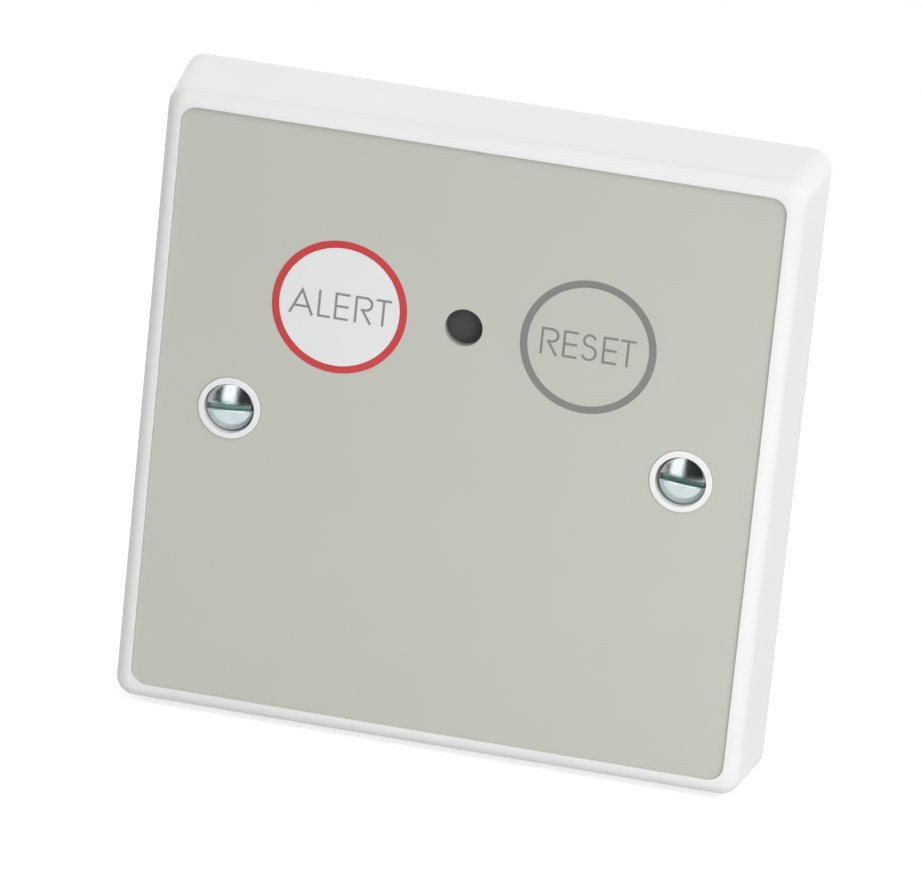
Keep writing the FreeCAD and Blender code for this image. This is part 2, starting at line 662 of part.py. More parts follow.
def make_sounder():
    """Round sounder on the board: a case with a sound hole, its disc, the base that closes it, two pins."""
    case = new_body("sounder_case", "port_x", "key_rise")
    bore = "(sounder_dia / 2 - sounder_wall)"
    disc_back = "(sounder_face - disc_drop - disc_thick)"
    disc_front = "(sounder_face - disc_drop)"
    turn(case, [
        ("sound_hole / 2", "sounder_face"),
        ("sounder_dia / 2", "sounder_face"),
        ("sounder_dia / 2", "board_front"),
        (bore, "board_front"),
        (bore, disc_front),
        (f"{bore} - ledge_wide", disc_front),
        (f"{bore} - ledge_wide", "sounder_face - sounder_wall"),
        ("sound_hole / 2", "sounder_face - sounder_wall"),
    ])
    disc = new_body("sounder_disc", "port_x", "key_rise")
    sketch = new_sketch(disc, "XZ_Plane", disc_back)
    circle(sketch, f"2 * {bore} - 2 * pin_gap")
    pad(disc, sketch, "disc_thick")
    plug = new_body("sounder_base", "port_x", "key_rise")
    spread = "(pin_pitch / 2)"
    sketch = new_sketch(plug, "XZ_Plane", "board_front")
    circle(sketch, f"2 * {bore} - 2 * pin_gap")
    for side in (-1, 1):
        circle(sketch, "pin_dia + pin_gap", f"{side} * {spread}")
    pad(plug, sketch, "plug_thick")
    pins = new_body("sounder_pins", "port_x", "key_rise")
    sketch = new_sketch(pins, "XZ_Plane", "board_back - pin_proud")
    for side in (-1, 1):
        circle(sketch, "pin_dia", f"{side} * {spread}")
    pad(pins, sketch, "board_thick + pin_proud + plug_thick")


def make_circuit_board():
    """Fibreglass board on the four posts, with holes for its screws and for the wired parts' pins."""
    body = new_body("circuit_board")
    outline = new_sketch(body, "XZ_Plane", "board_back")
    rectangle(outline, "board_wide", "board_tall")
    board = pad(body, outline, "board_thick")
    soften(body, board, upright_edges(board), "board_corner")
    holes = new_sketch(body, "XZ_Plane", "board_front")
    for i in (-1, 1):
        for j in (-1, 1):
            circle(holes, "board_hole", f"{i} * post_across / 2", f"{j} * post_upright / 2")
    for side in (-1, 1):
        circle(holes, "pin_dia + 2 * pin_gap", f"port_x + {side} * pin_pitch / 2", "key_rise")
    cut(body, holes)
    drills = new_sketch(body, "XZ_Plane", "board_front")
    circle(drills, "tpin_hole", "first_way", "-block_drop")
    drilled = cut(body, drills)
    repeat_ways(body, [drilled])


def repeat_ways(body, originals):
    """Repeat features once for each way of the terminal block."""
    doc.recompute()
    ways = body.newObject("PartDesign::LinearPattern", f"{body.Name}_ways")
    ways.Originals = originals
    ways.Direction = (next(f for f in body.Origin.OriginFeatures if f.Role == "X_Axis"), [""])
    bind(ways, "Length", "(way_count - 1) * way_pitch")
    bind(ways, "Occurrences", "way_count")
    body.Tip = ways
    return ways


def make_board_screws():
    """Four pan-head screws that hold the board on its posts, driven from the back."""
    body = new_body("board_screws")
    x, z = "post_across / 2", "post_upright / 2"
    head = new_sketch(body, "XZ_Plane", "board_back - bscrew_rise")
    for i in (-1, 1):
        for j in (-1, 1):
            circle(head, "bscrew_head", f"{i} * {x}", f"{j} * {z}")
    heads = pad(body, head, "bscrew_rise")
    soften(body, heads, rim_edges(heads), "bscrew_rise / 2")
    core = new_sketch(body, "XZ_Plane", "board_back - bscrew_rise / 2")
    for i in (-1, 1):
        for j in (-1, 1):
            circle(core, "bscrew_core", f"{i} * {x}", f"{j} * {z}")
    pad(body, core, "bscrew_long + bscrew_rise / 2")
    for wide, tall in (("bscrew_cross", "bscrew_slot"), ("bscrew_slot", "bscrew_cross")):
        cross = new_sketch(body, "XZ_Plane", "board_back - bscrew_rise")
        for i in (-1, 1):
            for j in (-1, 1):
                rectangle(cross, wide, tall, f"{i} * {x}", f"{j} * {z}")
        cut(body, cross, "bscrew_rise / 2", flip=True)


def make_switch(owner, x):
    """Tactile switch under a key: base with a well, snap dome, stem, folded metal cover and four legs."""
    base = new_body(f"{owner}_switch_base", x, "key_rise")
    outline = new_sketch(base, "XZ_Plane", "board_front")
    bevelled(outline, "switch_side", "switch_side", "switch_bevel")
    pad(base, outline, "switch_body")
    well = new_sketch(base, "XZ_Plane", "board_front + switch_body")
    circle(well, "well_dia")
    cut(base, well, "switch_body - well_floor")
    dome_foot = "(board_front + well_floor)"
    dome = new_body(f"{owner}_switch_dome", x, "key_rise")
    turn(dome, [
        ("0", f"{dome_foot} + dome_rise"),
        ("dome_dia / 2", f"{dome_foot} + dome_thick"),
        ("dome_dia / 2", dome_foot),
        ("0", dome_foot),
    ], crown="dome_ball")
    turn(dome, [
        ("0", f"{dome_foot} + dome_rise - dome_thick"),
        ("dome_dia / 2 - dome_thick", dome_foot),
        ("0", dome_foot),
    ], groove=True, crown="dome_hollow")
    stem = new_body(f"{owner}_switch_stem", x, "key_rise")
    foot = f"({dome_foot} + dome_rise)"
    shoulder = "(board_front + switch_body - stem_gap / 2)"
    turn(stem, [
        ("0", "stem_top"),
        ("stem_dia / 2", "stem_top"),
        ("stem_dia / 2", shoulder),
        ("stem_foot / 2", shoulder),
        ("stem_foot / 2", foot),
        ("0", foot),
    ])
    cover = new_body(f"{owner}_switch_cover", x, "key_rise")
    lid = new_sketch(cover, "XZ_Plane", "board_front + switch_body")
    bevelled(lid, "switch_side", "switch_side", "switch_bevel")
    circle(lid, "stem_dia + 2 * stem_gap")
    pad(cover, lid, "cover_thick")
    laps = new_sketch(cover, "XZ_Plane", "board_front + switch_body - cover_lap")
    for side in (-1, 1):
        rectangle(laps, "lap_wide", "cover_thick", "0", f"{side} * (switch_side + cover_thick) / 2")
    pad(cover, laps, "cover_lap + cover_thick")
    legs = new_body(f"{owner}_switch_legs", x, "key_rise")
    for side in (-1, 1):
        profile = new_sketch(legs, "XY_Plane", "leg_pitch / 2 - leg_wide / 2")
        start, knee = "switch_side / 2", "(switch_side / 2 + leg_out / 2)"
        end = "(switch_side / 2 + leg_out)"
        polygon(profile, [
            (f"{side} * {start}", "-(board_front + leg_rise + leg_thick)"),
            (f"{side} * {knee}", "-(board_front + leg_rise + leg_thick)"),
            (f"{side} * {knee}", "-(board_front + leg_thick)"),
            (f"{side} * {end}", "-(board_front + leg_thick)"),
            (f"{side} * {end}", "-board_front"),
            (f"{side} * ({knee} - leg_thick)", "-board_front"),
            (f"{side} * ({knee} - leg_thick)", "-(board_front + leg_rise)"),
            (f"{side} * {start}", "-(board_front + leg_rise)"),
        ])
        pad(legs, profile, "leg_wide")
    doc.recompute()
    twin = legs.newObject("PartDesign::Mirrored", f"{owner}_switch_lower_legs")
    twin.Originals = [f for f in legs.Group if f.TypeId == "PartDesign::Pad"]
    twin.MirrorPlane = (next(f for f in legs.Origin.OriginFeatures if f.Role == "XY_Plane"), [""])
    legs.Tip = twin


def make_lamp(label, drop):
    """Small lamp beside the alert switch that lights the key: a white case with a sunk, clear window."""
    body = new_body(label, "alert_x", f"key_rise + {drop} * led_offset")
    outline = new_sketch(body, "XZ_Plane", "board_front")
    rectangle(outline, "led_wide", "led_tall")
    pad(body, outline, "led_high")
    window = new_sketch(body, "XZ_Plane", "board_front + led_high")
    circle(window, "led_lens")
    cut(body, window, "led_dish")


def make_terminal_block():
    """Screw terminals for the cable, on the back of the board, with their mouths facing down."""
    block = new_body("terminal_block", "0", "-block_drop")
    long_side = "(way_count * way_pitch + block_end)"
    profile = new_sketch(block, "YZ_Plane", f"-{long_side} / 2")
    foot = "(-board_back)"
    polygon(profile, [
        (foot, "-block_deep / 2"),
        (f"{foot} + block_high - block_slope", "-block_deep / 2"),
        (f"{foot} + block_high", "-block_deep / 2 + block_lean"),
        (f"{foot} + block_high", "block_deep / 2 - block_bevel"),
        (f"{foot} + block_high - block_bevel", "block_deep / 2"),
        (foot, "block_deep / 2"),
    ])
    pad(block, profile, long_side)
    entry = new_sketch(block, "XY_Plane", "-block_deep / 2")
    rectangle(entry, "entry_wide", "entry_high", "first_way", f"{foot} + entry_sill + entry_high / 2")
    mouth = cut(block, entry, "entry_deep", flip=True)
    driver = new_sketch(block, "XZ_Plane", "board_back - block_high")
    clamp_middle = "(-block_deep / 2 + clamp_inset + clamp_deep / 2)"
    circle(driver, "screw_hole", "first_way", clamp_middle)
    driven = cut(block, driver, "block_high - entry_sill - entry_high / 2", flip=True)
    slit = new_sketch(block, "XZ_Plane", "board_back")
    circle(slit, "tpin_hole", "first_way")
    slitted = cut(block, slit, "entry_sill + clamp_gap")
    repeat_ways(block, [mouth, driven, slitted])

    # Clamps: square tubes of brass that lie in the entries, each with a tapped roof
    clamps = new_body("terminal_clamps", "0", "-block_drop")
    wide, high = "(entry_wide - 2 * clamp_gap)", "(entry_high - 2 * clamp_gap)"
    tube = new_sketch(clamps, "XY_Plane", "-block_deep / 2 + clamp_inset")
    middle = f"{foot} + entry_sill + entry_high / 2"
    rectangle(tube, wide, high, "first_way", middle)
    rectangle(tube, f"{wide} - 2 * clamp_wall", f"{high} - 2 * clamp_wall", "first_way", middle)
    box = pad(clamps, tube, "clamp_deep")
    tap = new_sketch(clamps, "XZ_Plane", "board_back - entry_sill - entry_high")
    circle(tap, "tscrew_dia + pin_gap", "first_way", clamp_middle)
    tapped = cut(clamps, tap, "clamp_wall + 2 * clamp_gap", flip=True)
    repeat_ways(clamps, [box, tapped])

    # Clamp screws: slotted, down through the clamp's roof
    screws = new_body("terminal_screws", "0", "-block_drop")
    head_base = "(board_back - entry_sill - entry_high)"
    head = new_sketch(screws, "XZ_Plane", f"{head_base} - tscrew_high")
    circle(head, "tscrew_head", "first_way", clamp_middle)
    heads = pad(screws, head, "tscrew_high")
    thread = new_sketch(screws, "XZ_Plane", f"{head_base} - tscrew_high / 2")
    circle(thread, "tscrew_dia", "first_way", clamp_middle)
    threads = pad(screws, thread, "tscrew_high / 2 + clamp_gap + clamp_wall + tscrew_reach")
    nick = new_sketch(screws, "XZ_Plane", f"{head_base} - tscrew_high")
    rectangle(nick, "2 * tscrew_head", "bscrew_slot", "first_way", clamp_middle)
    nicked = cut(screws, nick, "tscrew_high / 2", flip=True)
    repeat_ways(screws, [heads, threads, nicked])

    # Pins: square wire from under each clamp through the board
    pins = new_body("terminal_pins", "0", "-block_drop")
    wire = new_sketch(pins, "XZ_Plane", "board_back - entry_sill - clamp_gap")
    rectangle(wire, "tpin_side", "tpin_side", "first_way")
    wires = pad(pins, wire, "entry_sill + clamp_gap + board_thick + tpin_proud")
    repeat_ways(pins, [wires])


def make_chip():
    """Control chip on the back of the board, with bent legs along both long sides."""
    body = new_body("control_chip", "-chip_left", "chip_up")
    top = "(board_back - chip_lift - chip_thick)"
    outline = new_sketch(body, "XZ_Plane", top)
    rectangle(outline, "chip_long", "chip_wide")
    chip = pad(body, outline, "chip_thick")
    soften(body, chip, rim_edges(chip), "chip_bevel", "Chamfer")
    legs = new_body("control_chip_legs", "-chip_left", "chip_up")
    originals = []
    for side in (-1, 1):
        profile = new_sketch(legs, "YZ_Plane", "-(chip_leg_count / 2 - 1) * chip_pitch / 2 - chip_leg / 2")
        foot = "(-board_back)"
        rise = f"({foot} + chip_lift + chip_thick / 2)"
        inner, outer = "(chip_wide / 2)", "(chip_wide / 2 + chip_reach)"
        knee = "(chip_wide / 2 + chip_knee)"
        thin = "(chip_leg / 2)"
        polygon(profile, [
            (f"{rise} + {thin}", f"{side} * {inner}"),
            (f"{rise} + {thin}", f"{side} * {knee}"),
            (f"{foot} + {thin}", f"{side} * ({knee} + {thin} / 2)"),
            (f"{foot} + {thin}", f"{side} * {outer}"),
            (foot, f"{side} * {outer}"),
            (foot, f"{side} * ({knee} - {thin} / 2)"),
            (rise, f"{side} * ({knee} - {thin})"),
            (rise, f"{side} * {inner}"),
        ])
        originals.append(pad(legs, profile, "chip_leg"))
    doc.recompute()
    row = legs.newObject("PartDesign::LinearPattern", "control_chip_leg_row")
    row.Originals = originals
    row.Direction = (next(f for f in legs.Origin.OriginFeatures if f.Role == "X_Axis"), [""])
    bind(row, "Length", "(chip_leg_count / 2 - 1) * chip_pitch")
    bind(row, "Occurrences", "chip_leg_count / 2")
    legs.Tip = row


def make_capacitor():
    """Smoothing capacitor on the back of the board: a drawn can in a square plastic foot."""
    foot = new_body("capacitor_foot", "can_right", "can_up")
    outline = new_sketch(foot, "XZ_Plane", "board_back - foot_thick")
    bevelled(outline, "foot_side", "foot_side", "foot_bevel")
    pad(foot, outline, "foot_thick")
    can = new_body("capacitor_can", "can_right", "can_up")
    outline = new_sketch(can, "XZ_Plane", "board_back - foot_thick - can_tall")
    circle(outline, "can_dia")
    drawn = pad(can, outline, "can_tall")
    soften(can, drawn, rim_edges(drawn), "can_round")


def make_small_parts():
    """Diode and chip resistors on the back of the board."""
    diode = new_body("polarity_diode", "can_right", "-diode_drop")
    outline = new_sketch(diode, "XZ_Plane", "board_back - diode_high")
    rectangle(outline, "diode_long", "diode_wide")
    block = pad(diode, outline, "diode_high")
    soften(diode, block, rim_edges(block), "diode_bevel", "Chamfer")
    for i in range(int(size("resistor_count"))):
        body = new_body(f"resistor_{i + 1}", f"-resistor_left + {i} * resistor_pitch", "-resistor_drop")
        outline = new_sketch(body, "XZ_Plane", "board_back - resistor_high")
        rectangle(outline, "resistor_wide", "resistor_long")
        pad(body, outline, "resistor_high")


make_faceplate()
make_overlay_film()
make_fixing_screws()
make_key("alert_key", "alert_x")
make_key("reset_key", "reset_x")
make_port_gauze()
make_sounder()
make_circuit_board()
make_board_screws()
make_switch("alert", "alert_x")
make_switch("reset", "reset_x")
make_lamp("alert_lamp_upper", 1)
make_lamp("alert_lamp_lower", -1)
make_terminal_block()
make_chip()
make_capacitor()
make_small_parts()
doc.recompute()

# Nothing is written unless every step of every piece came out whole
failed = [thing.Label for thing in doc.Objects if {"Invalid", "Error"} & set(thing.State)]
if failed:
    raise ValueError(f"these steps failed: {failed}")
for piece in pieces:
    if piece.Shape.isNull() or not piece.Shape.isValid():
        raise ValueError(f"{piece.Label} isn't a sound solid")
os.makedirs("parts", exist_ok=True)
for piece in pieces:
    piece.Shape.exportStep(f"parts/{piece.Label}.step")
    print(piece.Label, len(piece.Shape.Solids), round(piece.Shape.Volume, 2))
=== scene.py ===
import math

import bmesh
import bpy
from mathutils import Matrix, Vector, geometry


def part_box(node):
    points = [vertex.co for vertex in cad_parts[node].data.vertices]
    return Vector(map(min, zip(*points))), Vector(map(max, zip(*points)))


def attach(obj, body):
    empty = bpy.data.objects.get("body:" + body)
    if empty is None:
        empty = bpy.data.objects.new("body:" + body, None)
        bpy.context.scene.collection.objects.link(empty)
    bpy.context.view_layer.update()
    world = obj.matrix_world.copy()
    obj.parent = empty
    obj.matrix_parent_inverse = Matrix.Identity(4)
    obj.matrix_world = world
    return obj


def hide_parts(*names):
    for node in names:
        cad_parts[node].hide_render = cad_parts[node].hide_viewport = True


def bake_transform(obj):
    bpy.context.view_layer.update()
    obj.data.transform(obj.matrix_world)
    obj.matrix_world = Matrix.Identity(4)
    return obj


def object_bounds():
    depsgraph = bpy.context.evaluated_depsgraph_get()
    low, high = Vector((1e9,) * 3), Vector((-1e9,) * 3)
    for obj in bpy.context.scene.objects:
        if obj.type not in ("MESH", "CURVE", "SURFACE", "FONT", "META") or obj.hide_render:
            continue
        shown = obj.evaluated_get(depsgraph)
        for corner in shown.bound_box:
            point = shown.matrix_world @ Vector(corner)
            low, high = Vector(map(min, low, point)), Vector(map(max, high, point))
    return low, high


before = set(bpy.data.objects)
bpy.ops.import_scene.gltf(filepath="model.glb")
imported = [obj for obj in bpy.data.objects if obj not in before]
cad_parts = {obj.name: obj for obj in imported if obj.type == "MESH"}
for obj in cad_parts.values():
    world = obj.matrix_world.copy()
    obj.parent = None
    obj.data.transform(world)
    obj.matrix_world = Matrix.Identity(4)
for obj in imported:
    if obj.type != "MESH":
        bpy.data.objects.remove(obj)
cad_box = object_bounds()
MM = 0.001

# The faceplate is one moulding in white ABS, glossy outside and duller inside, where the mould's core is
# only machined. Shade is painted into its colour in two places: down the sound port's wall, beige at its
# mouth and dark at the gauze, and in the gaps round the screws' heads.


def tone(red, green, blue):
    """A colour as the eye reads it, 0 to 255 a channel, turned into light levels."""
    levels = []
    for channel in (red, green, blue):
        share = channel / 255
        levels.append(share / 12.92 if share <= 0.04045 else ((share + 0.055) / 1.055) ** 2.4)
    return (*levels, 1.0)


def new_finish(name, roughness=0.5, metal=0.0):
    """A material with its shader, ready for colour, gloss and relief to be added."""
    finish = bpy.data.materials.new(name)
    finish.use_nodes = True
    shader = finish.node_tree.nodes["Principled BSDF"]
    shader.inputs["Roughness"].default_value = roughness
    shader.inputs["Metallic"].default_value = metal
    return finish


def add(finish, kind, **settings):
    """One more node of a material; a setting whose name is an input's fills or links that input."""
    node = finish.node_tree.nodes.new(kind)
    for name, value in settings.items():
        if name[0].islower():
            setattr(node, name, value)
            continue
        socket = node.inputs[int(name[1:])] if name[1:].isdigit() else node.inputs[name.replace("_", " ")]
        if isinstance(value, bpy.types.NodeSocket):
            finish.node_tree.links.new(value, socket)
        else:
            socket.default_value = value
    return node


def shader_link(finish, socket, name):
    """Let a node's output drive one input of the material's shader."""
    finish.node_tree.links.new(socket, finish.node_tree.nodes["Principled BSDF"].inputs[name])


def shader_value(finish, name, value):
    """Set one input of the material's shader."""
    finish.node_tree.nodes["Principled BSDF"].inputs[name].default_value = value


def place(finish):
    """The place on the object, in metres, that every pattern is fixed to."""
    return add(finish, "ShaderNodeTexCoord").outputs["Object"]


def coordinates(finish):
    """That place as three outputs: X to the right, Y to the back and Z up."""
    return add(finish, "ShaderNodeSeparateXYZ", Vector=place(finish)).outputs


def patches(finish, size, detail=2.0, stretch=(1, 1, 1)):
    """Soft random patches from 0 to 1, each about one size across, drawn out by the stretch."""
    scaled = add(finish, "ShaderNodeMapping", Vector=place(finish), Scale=tuple(1 / s for s in stretch))
    noise = add(finish, "ShaderNodeTexNoise", Vector=scaled.outputs[0], Scale=1 / size, Detail=detail)
    return noise.outputs["Fac"]


def spread(finish, share, low, high):
    """Stretch the middle of a pattern's range over the values from low to high."""
    return add(finish, "ShaderNodeMapRange", Value=share, V1=0.3, V2=0.7, V3=low, V4=high).outputs[0]


def ramp(finish, value, start, end, low=0.0, high=1.0):
    """A soft step from low to high while a value goes from start to end."""
    return add(finish, "ShaderNodeMapRange", interpolation_type="SMOOTHSTEP",
               Value=value, V1=start, V2=end, V3=low, V4=high).outputs[0]


def blend_tones(finish, share, first, second):
    """A colour between two, either of them a tone or an output, by a share from 0 to 1."""
    mixed = add(finish, "ShaderNodeMix", data_type="RGBA", Factor=share, A6=first, B7=second)
    return mixed.outputs[2]


def colour_patches(finish, size, first, second, detail=2.0, stretch=(1, 1, 1)):
    """Let the material's colour wander between two tones."""
    share = spread(finish, patches(finish, size, detail, stretch), 0.0, 1.0)
    colour = blend_tones(finish, share, first, second)
    shader_link(finish, colour, "Base Color")
    return colour


def gloss_patches(finish, size, low, high, detail=2.0, stretch=(1, 1, 1)):
    """Let the material's roughness wander between two values."""
    shader_link(finish, spread(finish, patches(finish, size, detail, stretch), low, high), "Roughness")


def relief(finish, heights, depth, under=None):
    """Raise the surface by a pattern of heights from 0 to 1, to a depth in metres."""
    bump = add(finish, "ShaderNodeBump", Height=heights, Distance=depth)
    if under is not None:
        finish.node_tree.links.new(under, bump.inputs["Normal"])
    shader_link(finish, bump.outputs[0], "Normal")
    return bump.outputs[0]


def surface(name, colour, gloss, grain, metal=0.0):
    """A material of three patterns, each with the size of its patches in millimetres first. Colour goes
    between two tones, gloss between two roughnesses, and grain has a depth in millimetres. The detail of a
    pattern and its stretch may follow."""
    finish = new_finish(name, metal=metal)
    size, first, second, *more = colour
    colour_patches(finish, size * MM, tone(*first), tone(*second), *more)
    size, low, high, *more = gloss
    gloss_patches(finish, size * MM, low, high, *more)
    size, depth, *more = grain
    relief(finish, patches(finish, size * MM, *more), depth * MM)
    return finish


def math_node(finish, operation, first, second=0.0):
    """One sum of two values or outputs."""
    return add(finish, "ShaderNodeMath", operation=operation, V0=first, V1=second).outputs[0]


def dress(node, finish):
    """Give a piece that comes from the frame its finish."""
    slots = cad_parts[node].material_slots
    for slot in slots:
        slot.material = finish


def middle_of(node):
    """The middle of a piece of the frame."""
    low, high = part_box(node)
    return (low + high) / 2


plate_white = new_finish("moulded_white_plastic")
white_mottle = colour_patches(plate_white, 25 * MM, tone(235, 235, 235), tone(238, 238, 237))
at = coordinates(plate_white)
port_zone, port_dark = 3.2, 0.3
port_middle = middle_of("port_gauze")
port_mouth, port_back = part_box("overlay_film")[1].y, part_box("port_gauze")[0].y
from_port = add(plate_white, "ShaderNodeVectorMath", operation="DISTANCE", V0=place(plate_white),
                V1=(port_middle.x, port_back, port_middle.z)).outputs["Value"]
in_port = math_node(plate_white, "LESS_THAN", from_port, port_zone * MM)
# Painted shade: the port's wall goes from the film's beige at its mouth to dark grey at the gauze, as light
# falls off down the hole.
port_shade_depth = ramp(plate_white, at["Y"], port_mouth, port_back - port_dark * MM)
port_painted_shade = blend_tones(plate_white, port_shade_depth, tone(196, 197, 186), tone(84, 84, 82))
tone_with_port_shade = blend_tones(plate_white, in_port, white_mottle, port_painted_shade)

screw_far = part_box("fixing_screws")[1]
standard_head = screw_far.z / MM
screw_away = screw_far.x / MM - standard_head
tip_out = -screw_far.y / MM
# Painted shade: the bore round each screw head darkens towards the head, where the gap between them lies in
# shade.
gap_shade_front, gap_shade_back, gap_shade_wide = 13.5, 12.9, 0.3
across = math_node(plate_white, "SUBTRACT", math_node(plate_white, "ABSOLUTE", at["X"]), screw_away * MM)
from_axis = add(plate_white, "ShaderNodeCombineXYZ", X=across, Z=at["Z"]).outputs[0]
from_screw = add(plate_white, "ShaderNodeVectorMath", operation="LENGTH", V0=from_axis).outputs["Value"]
by_screw = math_node(plate_white, "LESS_THAN", from_screw, (standard_head + gap_shade_wide) * MM)
gap_shade_depth = ramp(plate_white, at["Y"], -gap_shade_front * MM, -gap_shade_back * MM)
gap_shade_share = math_node(plate_white, "MULTIPLY", by_screw, gap_shade_depth)
gap_shaded_tone = blend_tones(plate_white, gap_shade_share, tone_with_port_shade, tone(132, 128, 124))
shader_link(plate_white, gap_shaded_tone, "Base Color")

polish = spread(plate_white, patches(plate_white, 6 * MM, 3), 0.30, 0.36)
normal = add(plate_white, "ShaderNodeTexCoord").outputs["Normal"]
faces_wall = add(plate_white, "ShaderNodeSeparateXYZ", Vector=normal).outputs["Y"]
core_dullness = spread(plate_white, faces_wall, 0.0, 0.25)
shader_link(plate_white, math_node(plate_white, "ADD", polish, core_dullness), "Roughness")
relief(plate_white, patches(plate_white, 1.6 * MM, 1), 0.0015 * MM)
dress("faceplate", plate_white)

# The overlay is one sheet of polyester, printed on its back in grey-beige, white, red and grey, with a
# fine satin texture on its front. Its adhesive holds it in the sunk field, and it spans the two keys, so
# over each key it dips when the key is pressed.

film_low, film_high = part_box("overlay_film")
film_face, film_seat = film_low.y, film_high.y
film_spare = 0.12
film_half, film_corner = film_high.x / MM + film_spare, 2.0 + film_spare
collar_hole = 8.5
port_hole = 5.0
ring_outside, ring_inside = 9.0, 8.0
key_edge = 7.7
dip_full = 4.6
crown = 0.02
letter_height = 3.66
letter_stroke = 0.33


def printed(name, first, second):
    """Ink seen through the film's satin face."""
    return surface(name, (9, first, second, 3), (4, 0.36, 0.44), (0.12, 0.0012, 1))


ink_beige = printed("beige_print", (194, 195, 185), (195, 196, 187))
ink_white = printed("white_print", (229, 230, 230), (231, 232, 232))
ink_red = printed("red_print", (197, 58, 62), (202, 64, 66))
ink_grey = printed("grey_print", (129, 129, 127), (134, 134, 131))
ink_legend = printed("legend_print", (133, 134, 133), (139, 140, 139))
round_steps = 128


def circle(x, z, radius, steps=round_steps):
    """A ring of points about a place."""
    return [(x + radius * math.cos(math.tau * i / steps), z + radius * math.sin(math.tau * i / steps))
            for i in range(steps)]


def arc(x, z, radius, start, end, steps=14):
    """Points along part of a circle, from one angle to another in degrees."""
    angles = [math.radians(start + (end - start) * i / steps) for i in range(steps + 1)]
    return [(x + radius * math.cos(a), z + radius * math.sin(a)) for a in angles]


def rounded_square(half, radius):
    """A square about the middle with round corners."""
    corner = half - radius
    points = []
    for i, (right, up) in enumerate(((1, 1), (-1, 1), (-1, -1), (1, -1))):
        points += arc(right * corner, up * corner, radius, 90 * i, 90 * i + 90)
    return points


def ribbon(points, width):
    """The outline of a strip of even width along a line, with square ends and mitred bends."""
    line = [Vector(p) for p in points]
    left, right = [], []
    for i, point in enumerate(line):
        before = (point - line[i - 1]).normalized() if i > 0 else None
        after = (line[i + 1] - point).normalized() if i < len(line) - 1 else None
        along = ((before or after) + (after or before)).normalized()
        across = Vector((-along.y, along.x))
        reach = width / 2 / max(0.35, along.dot(after or before))
        left.append(tuple(point + across * reach))
        right.append(tuple(point - across * reach))
    return left + right[::-1]


def holds(loop, x, z):
    """Whether a closed outline has the point inside it."""
    inside = False
    for (x1, z1), (x2, z2) in zip(loop, loop[1:] + loop[:1]):
        if (z1 > z) != (z2 > z) and x < x1 + (z - z1) * (x2 - x1) / (z2 - z1):
            inside = not inside
    return inside


def flat_piece(name, loops, finishes, pick, front, back, lift=None, open_within=None):
    """A flat piece between two levels, cut along loops drawn in millimetres. pick(x, z) gives the number of
    the finish at a place, or None where nothing is. lift(x, z) raises the front; the back is left out
    where open_within(x, z) holds."""
    spots, edges = [], []
    for loop in loops:
        first = len(spots)
        spots += [Vector(p) for p in loop]
        edges += [(first + i, first + (i + 1) % len(loop)) for i in range(len(loop))]
    spots, _, triangles, _, _, _ = geometry.delaunay_2d_cdt(spots, edges, [], 0, 1e-5)
    shape = bmesh.new()
    raised = [lift(p.x, p.y) * MM if lift else 0 for p in spots]
    fronts = [shape.verts.new((p.x * MM, front - up, p.y * MM)) for p, up in zip(spots, raised)]
    backs = [shape.verts.new((p.x * MM, back, p.y * MM)) for p in spots]
    kept = {}
    for triangle in triangles:
        centre = sum((spots[i] for i in triangle), Vector((0, 0))) / 3
        number = pick(centre.x, centre.y)
        if number is None:
            continue
        shape.faces.new([fronts[i] for i in triangle]).material_index = number
        if not (open_within and open_within(centre.x, centre.y)):
            shape.faces.new([backs[i] for i in reversed(triangle)])
        for a, b in zip(triangle, triangle[1:] + triangle[:1]):
            kept[(a, b)] = number
    for (a, b), number in kept.items():
        if (b, a) not in kept:
            shape.faces.new([fronts[b], fronts[a], backs[a], backs[b]]).material_index = number
    bmesh.ops.delete(shape, geom=[v for v in shape.verts if not v.link_faces], context="VERTS")
    return finish_piece(name, shape, finishes)


def finish_piece(name, shape, finishes, sharp=30):
    """Turn a built shape into a named piece with its finishes, smooth but for its sharp edges."""
    mesh = bpy.data.meshes.new(name)
    shape.to_mesh(mesh)
    shape.free()
    for finish in finishes:
        mesh.materials.append(finish)
    mesh.shade_smooth()
    mesh.set_sharp_from_angle(angle=math.radians(sharp))
    piece = bpy.data.objects.new(name, mesh)
    bpy.context.scene.collection.objects.link(piece)
    return piece


# The print lies a tenth of a millimetre off the keys' middles, and ALERT a little higher in its ring
alert_spot = middle_of("alert_key") / MM + Vector((-0.08, 0, 0.09))
reset_spot = middle_of("reset_key") / MM + Vector((-0.02, 0, 0.07))
alert_word = alert_spot + Vector((0.08, 0, 0.12))
reset_word = reset_spot + Vector((-0.02, 0, -0.01))
sheet_outline = rounded_square(film_half, film_corner)
screw_holes = [circle(side * screw_away, 0, collar_hole / 2) for side in (-1, 1)]
port_loop = circle(port_middle.x / MM, port_middle.z / MM, port_hole / 2)
zone_loops = [circle(spot.x, spot.z, ring_outside) for spot in (alert_spot, reset_spot)]
sheet_holes = screw_holes + [port_loop] + zone_loops


def sheet_pick(x, z):
    """The sheet's one ink, but for its holes and the two key zones."""
    return None if any(holds(loop, x, z) for loop in sheet_holes) or not holds(sheet_outline, x, z) else 0


sheet = flat_piece("overlay_sheet", [sheet_outline] + sheet_holes, [ink_beige], sheet_pick,
                   film_face, film_seat)
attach(sheet, "plate")
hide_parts("overlay_film")

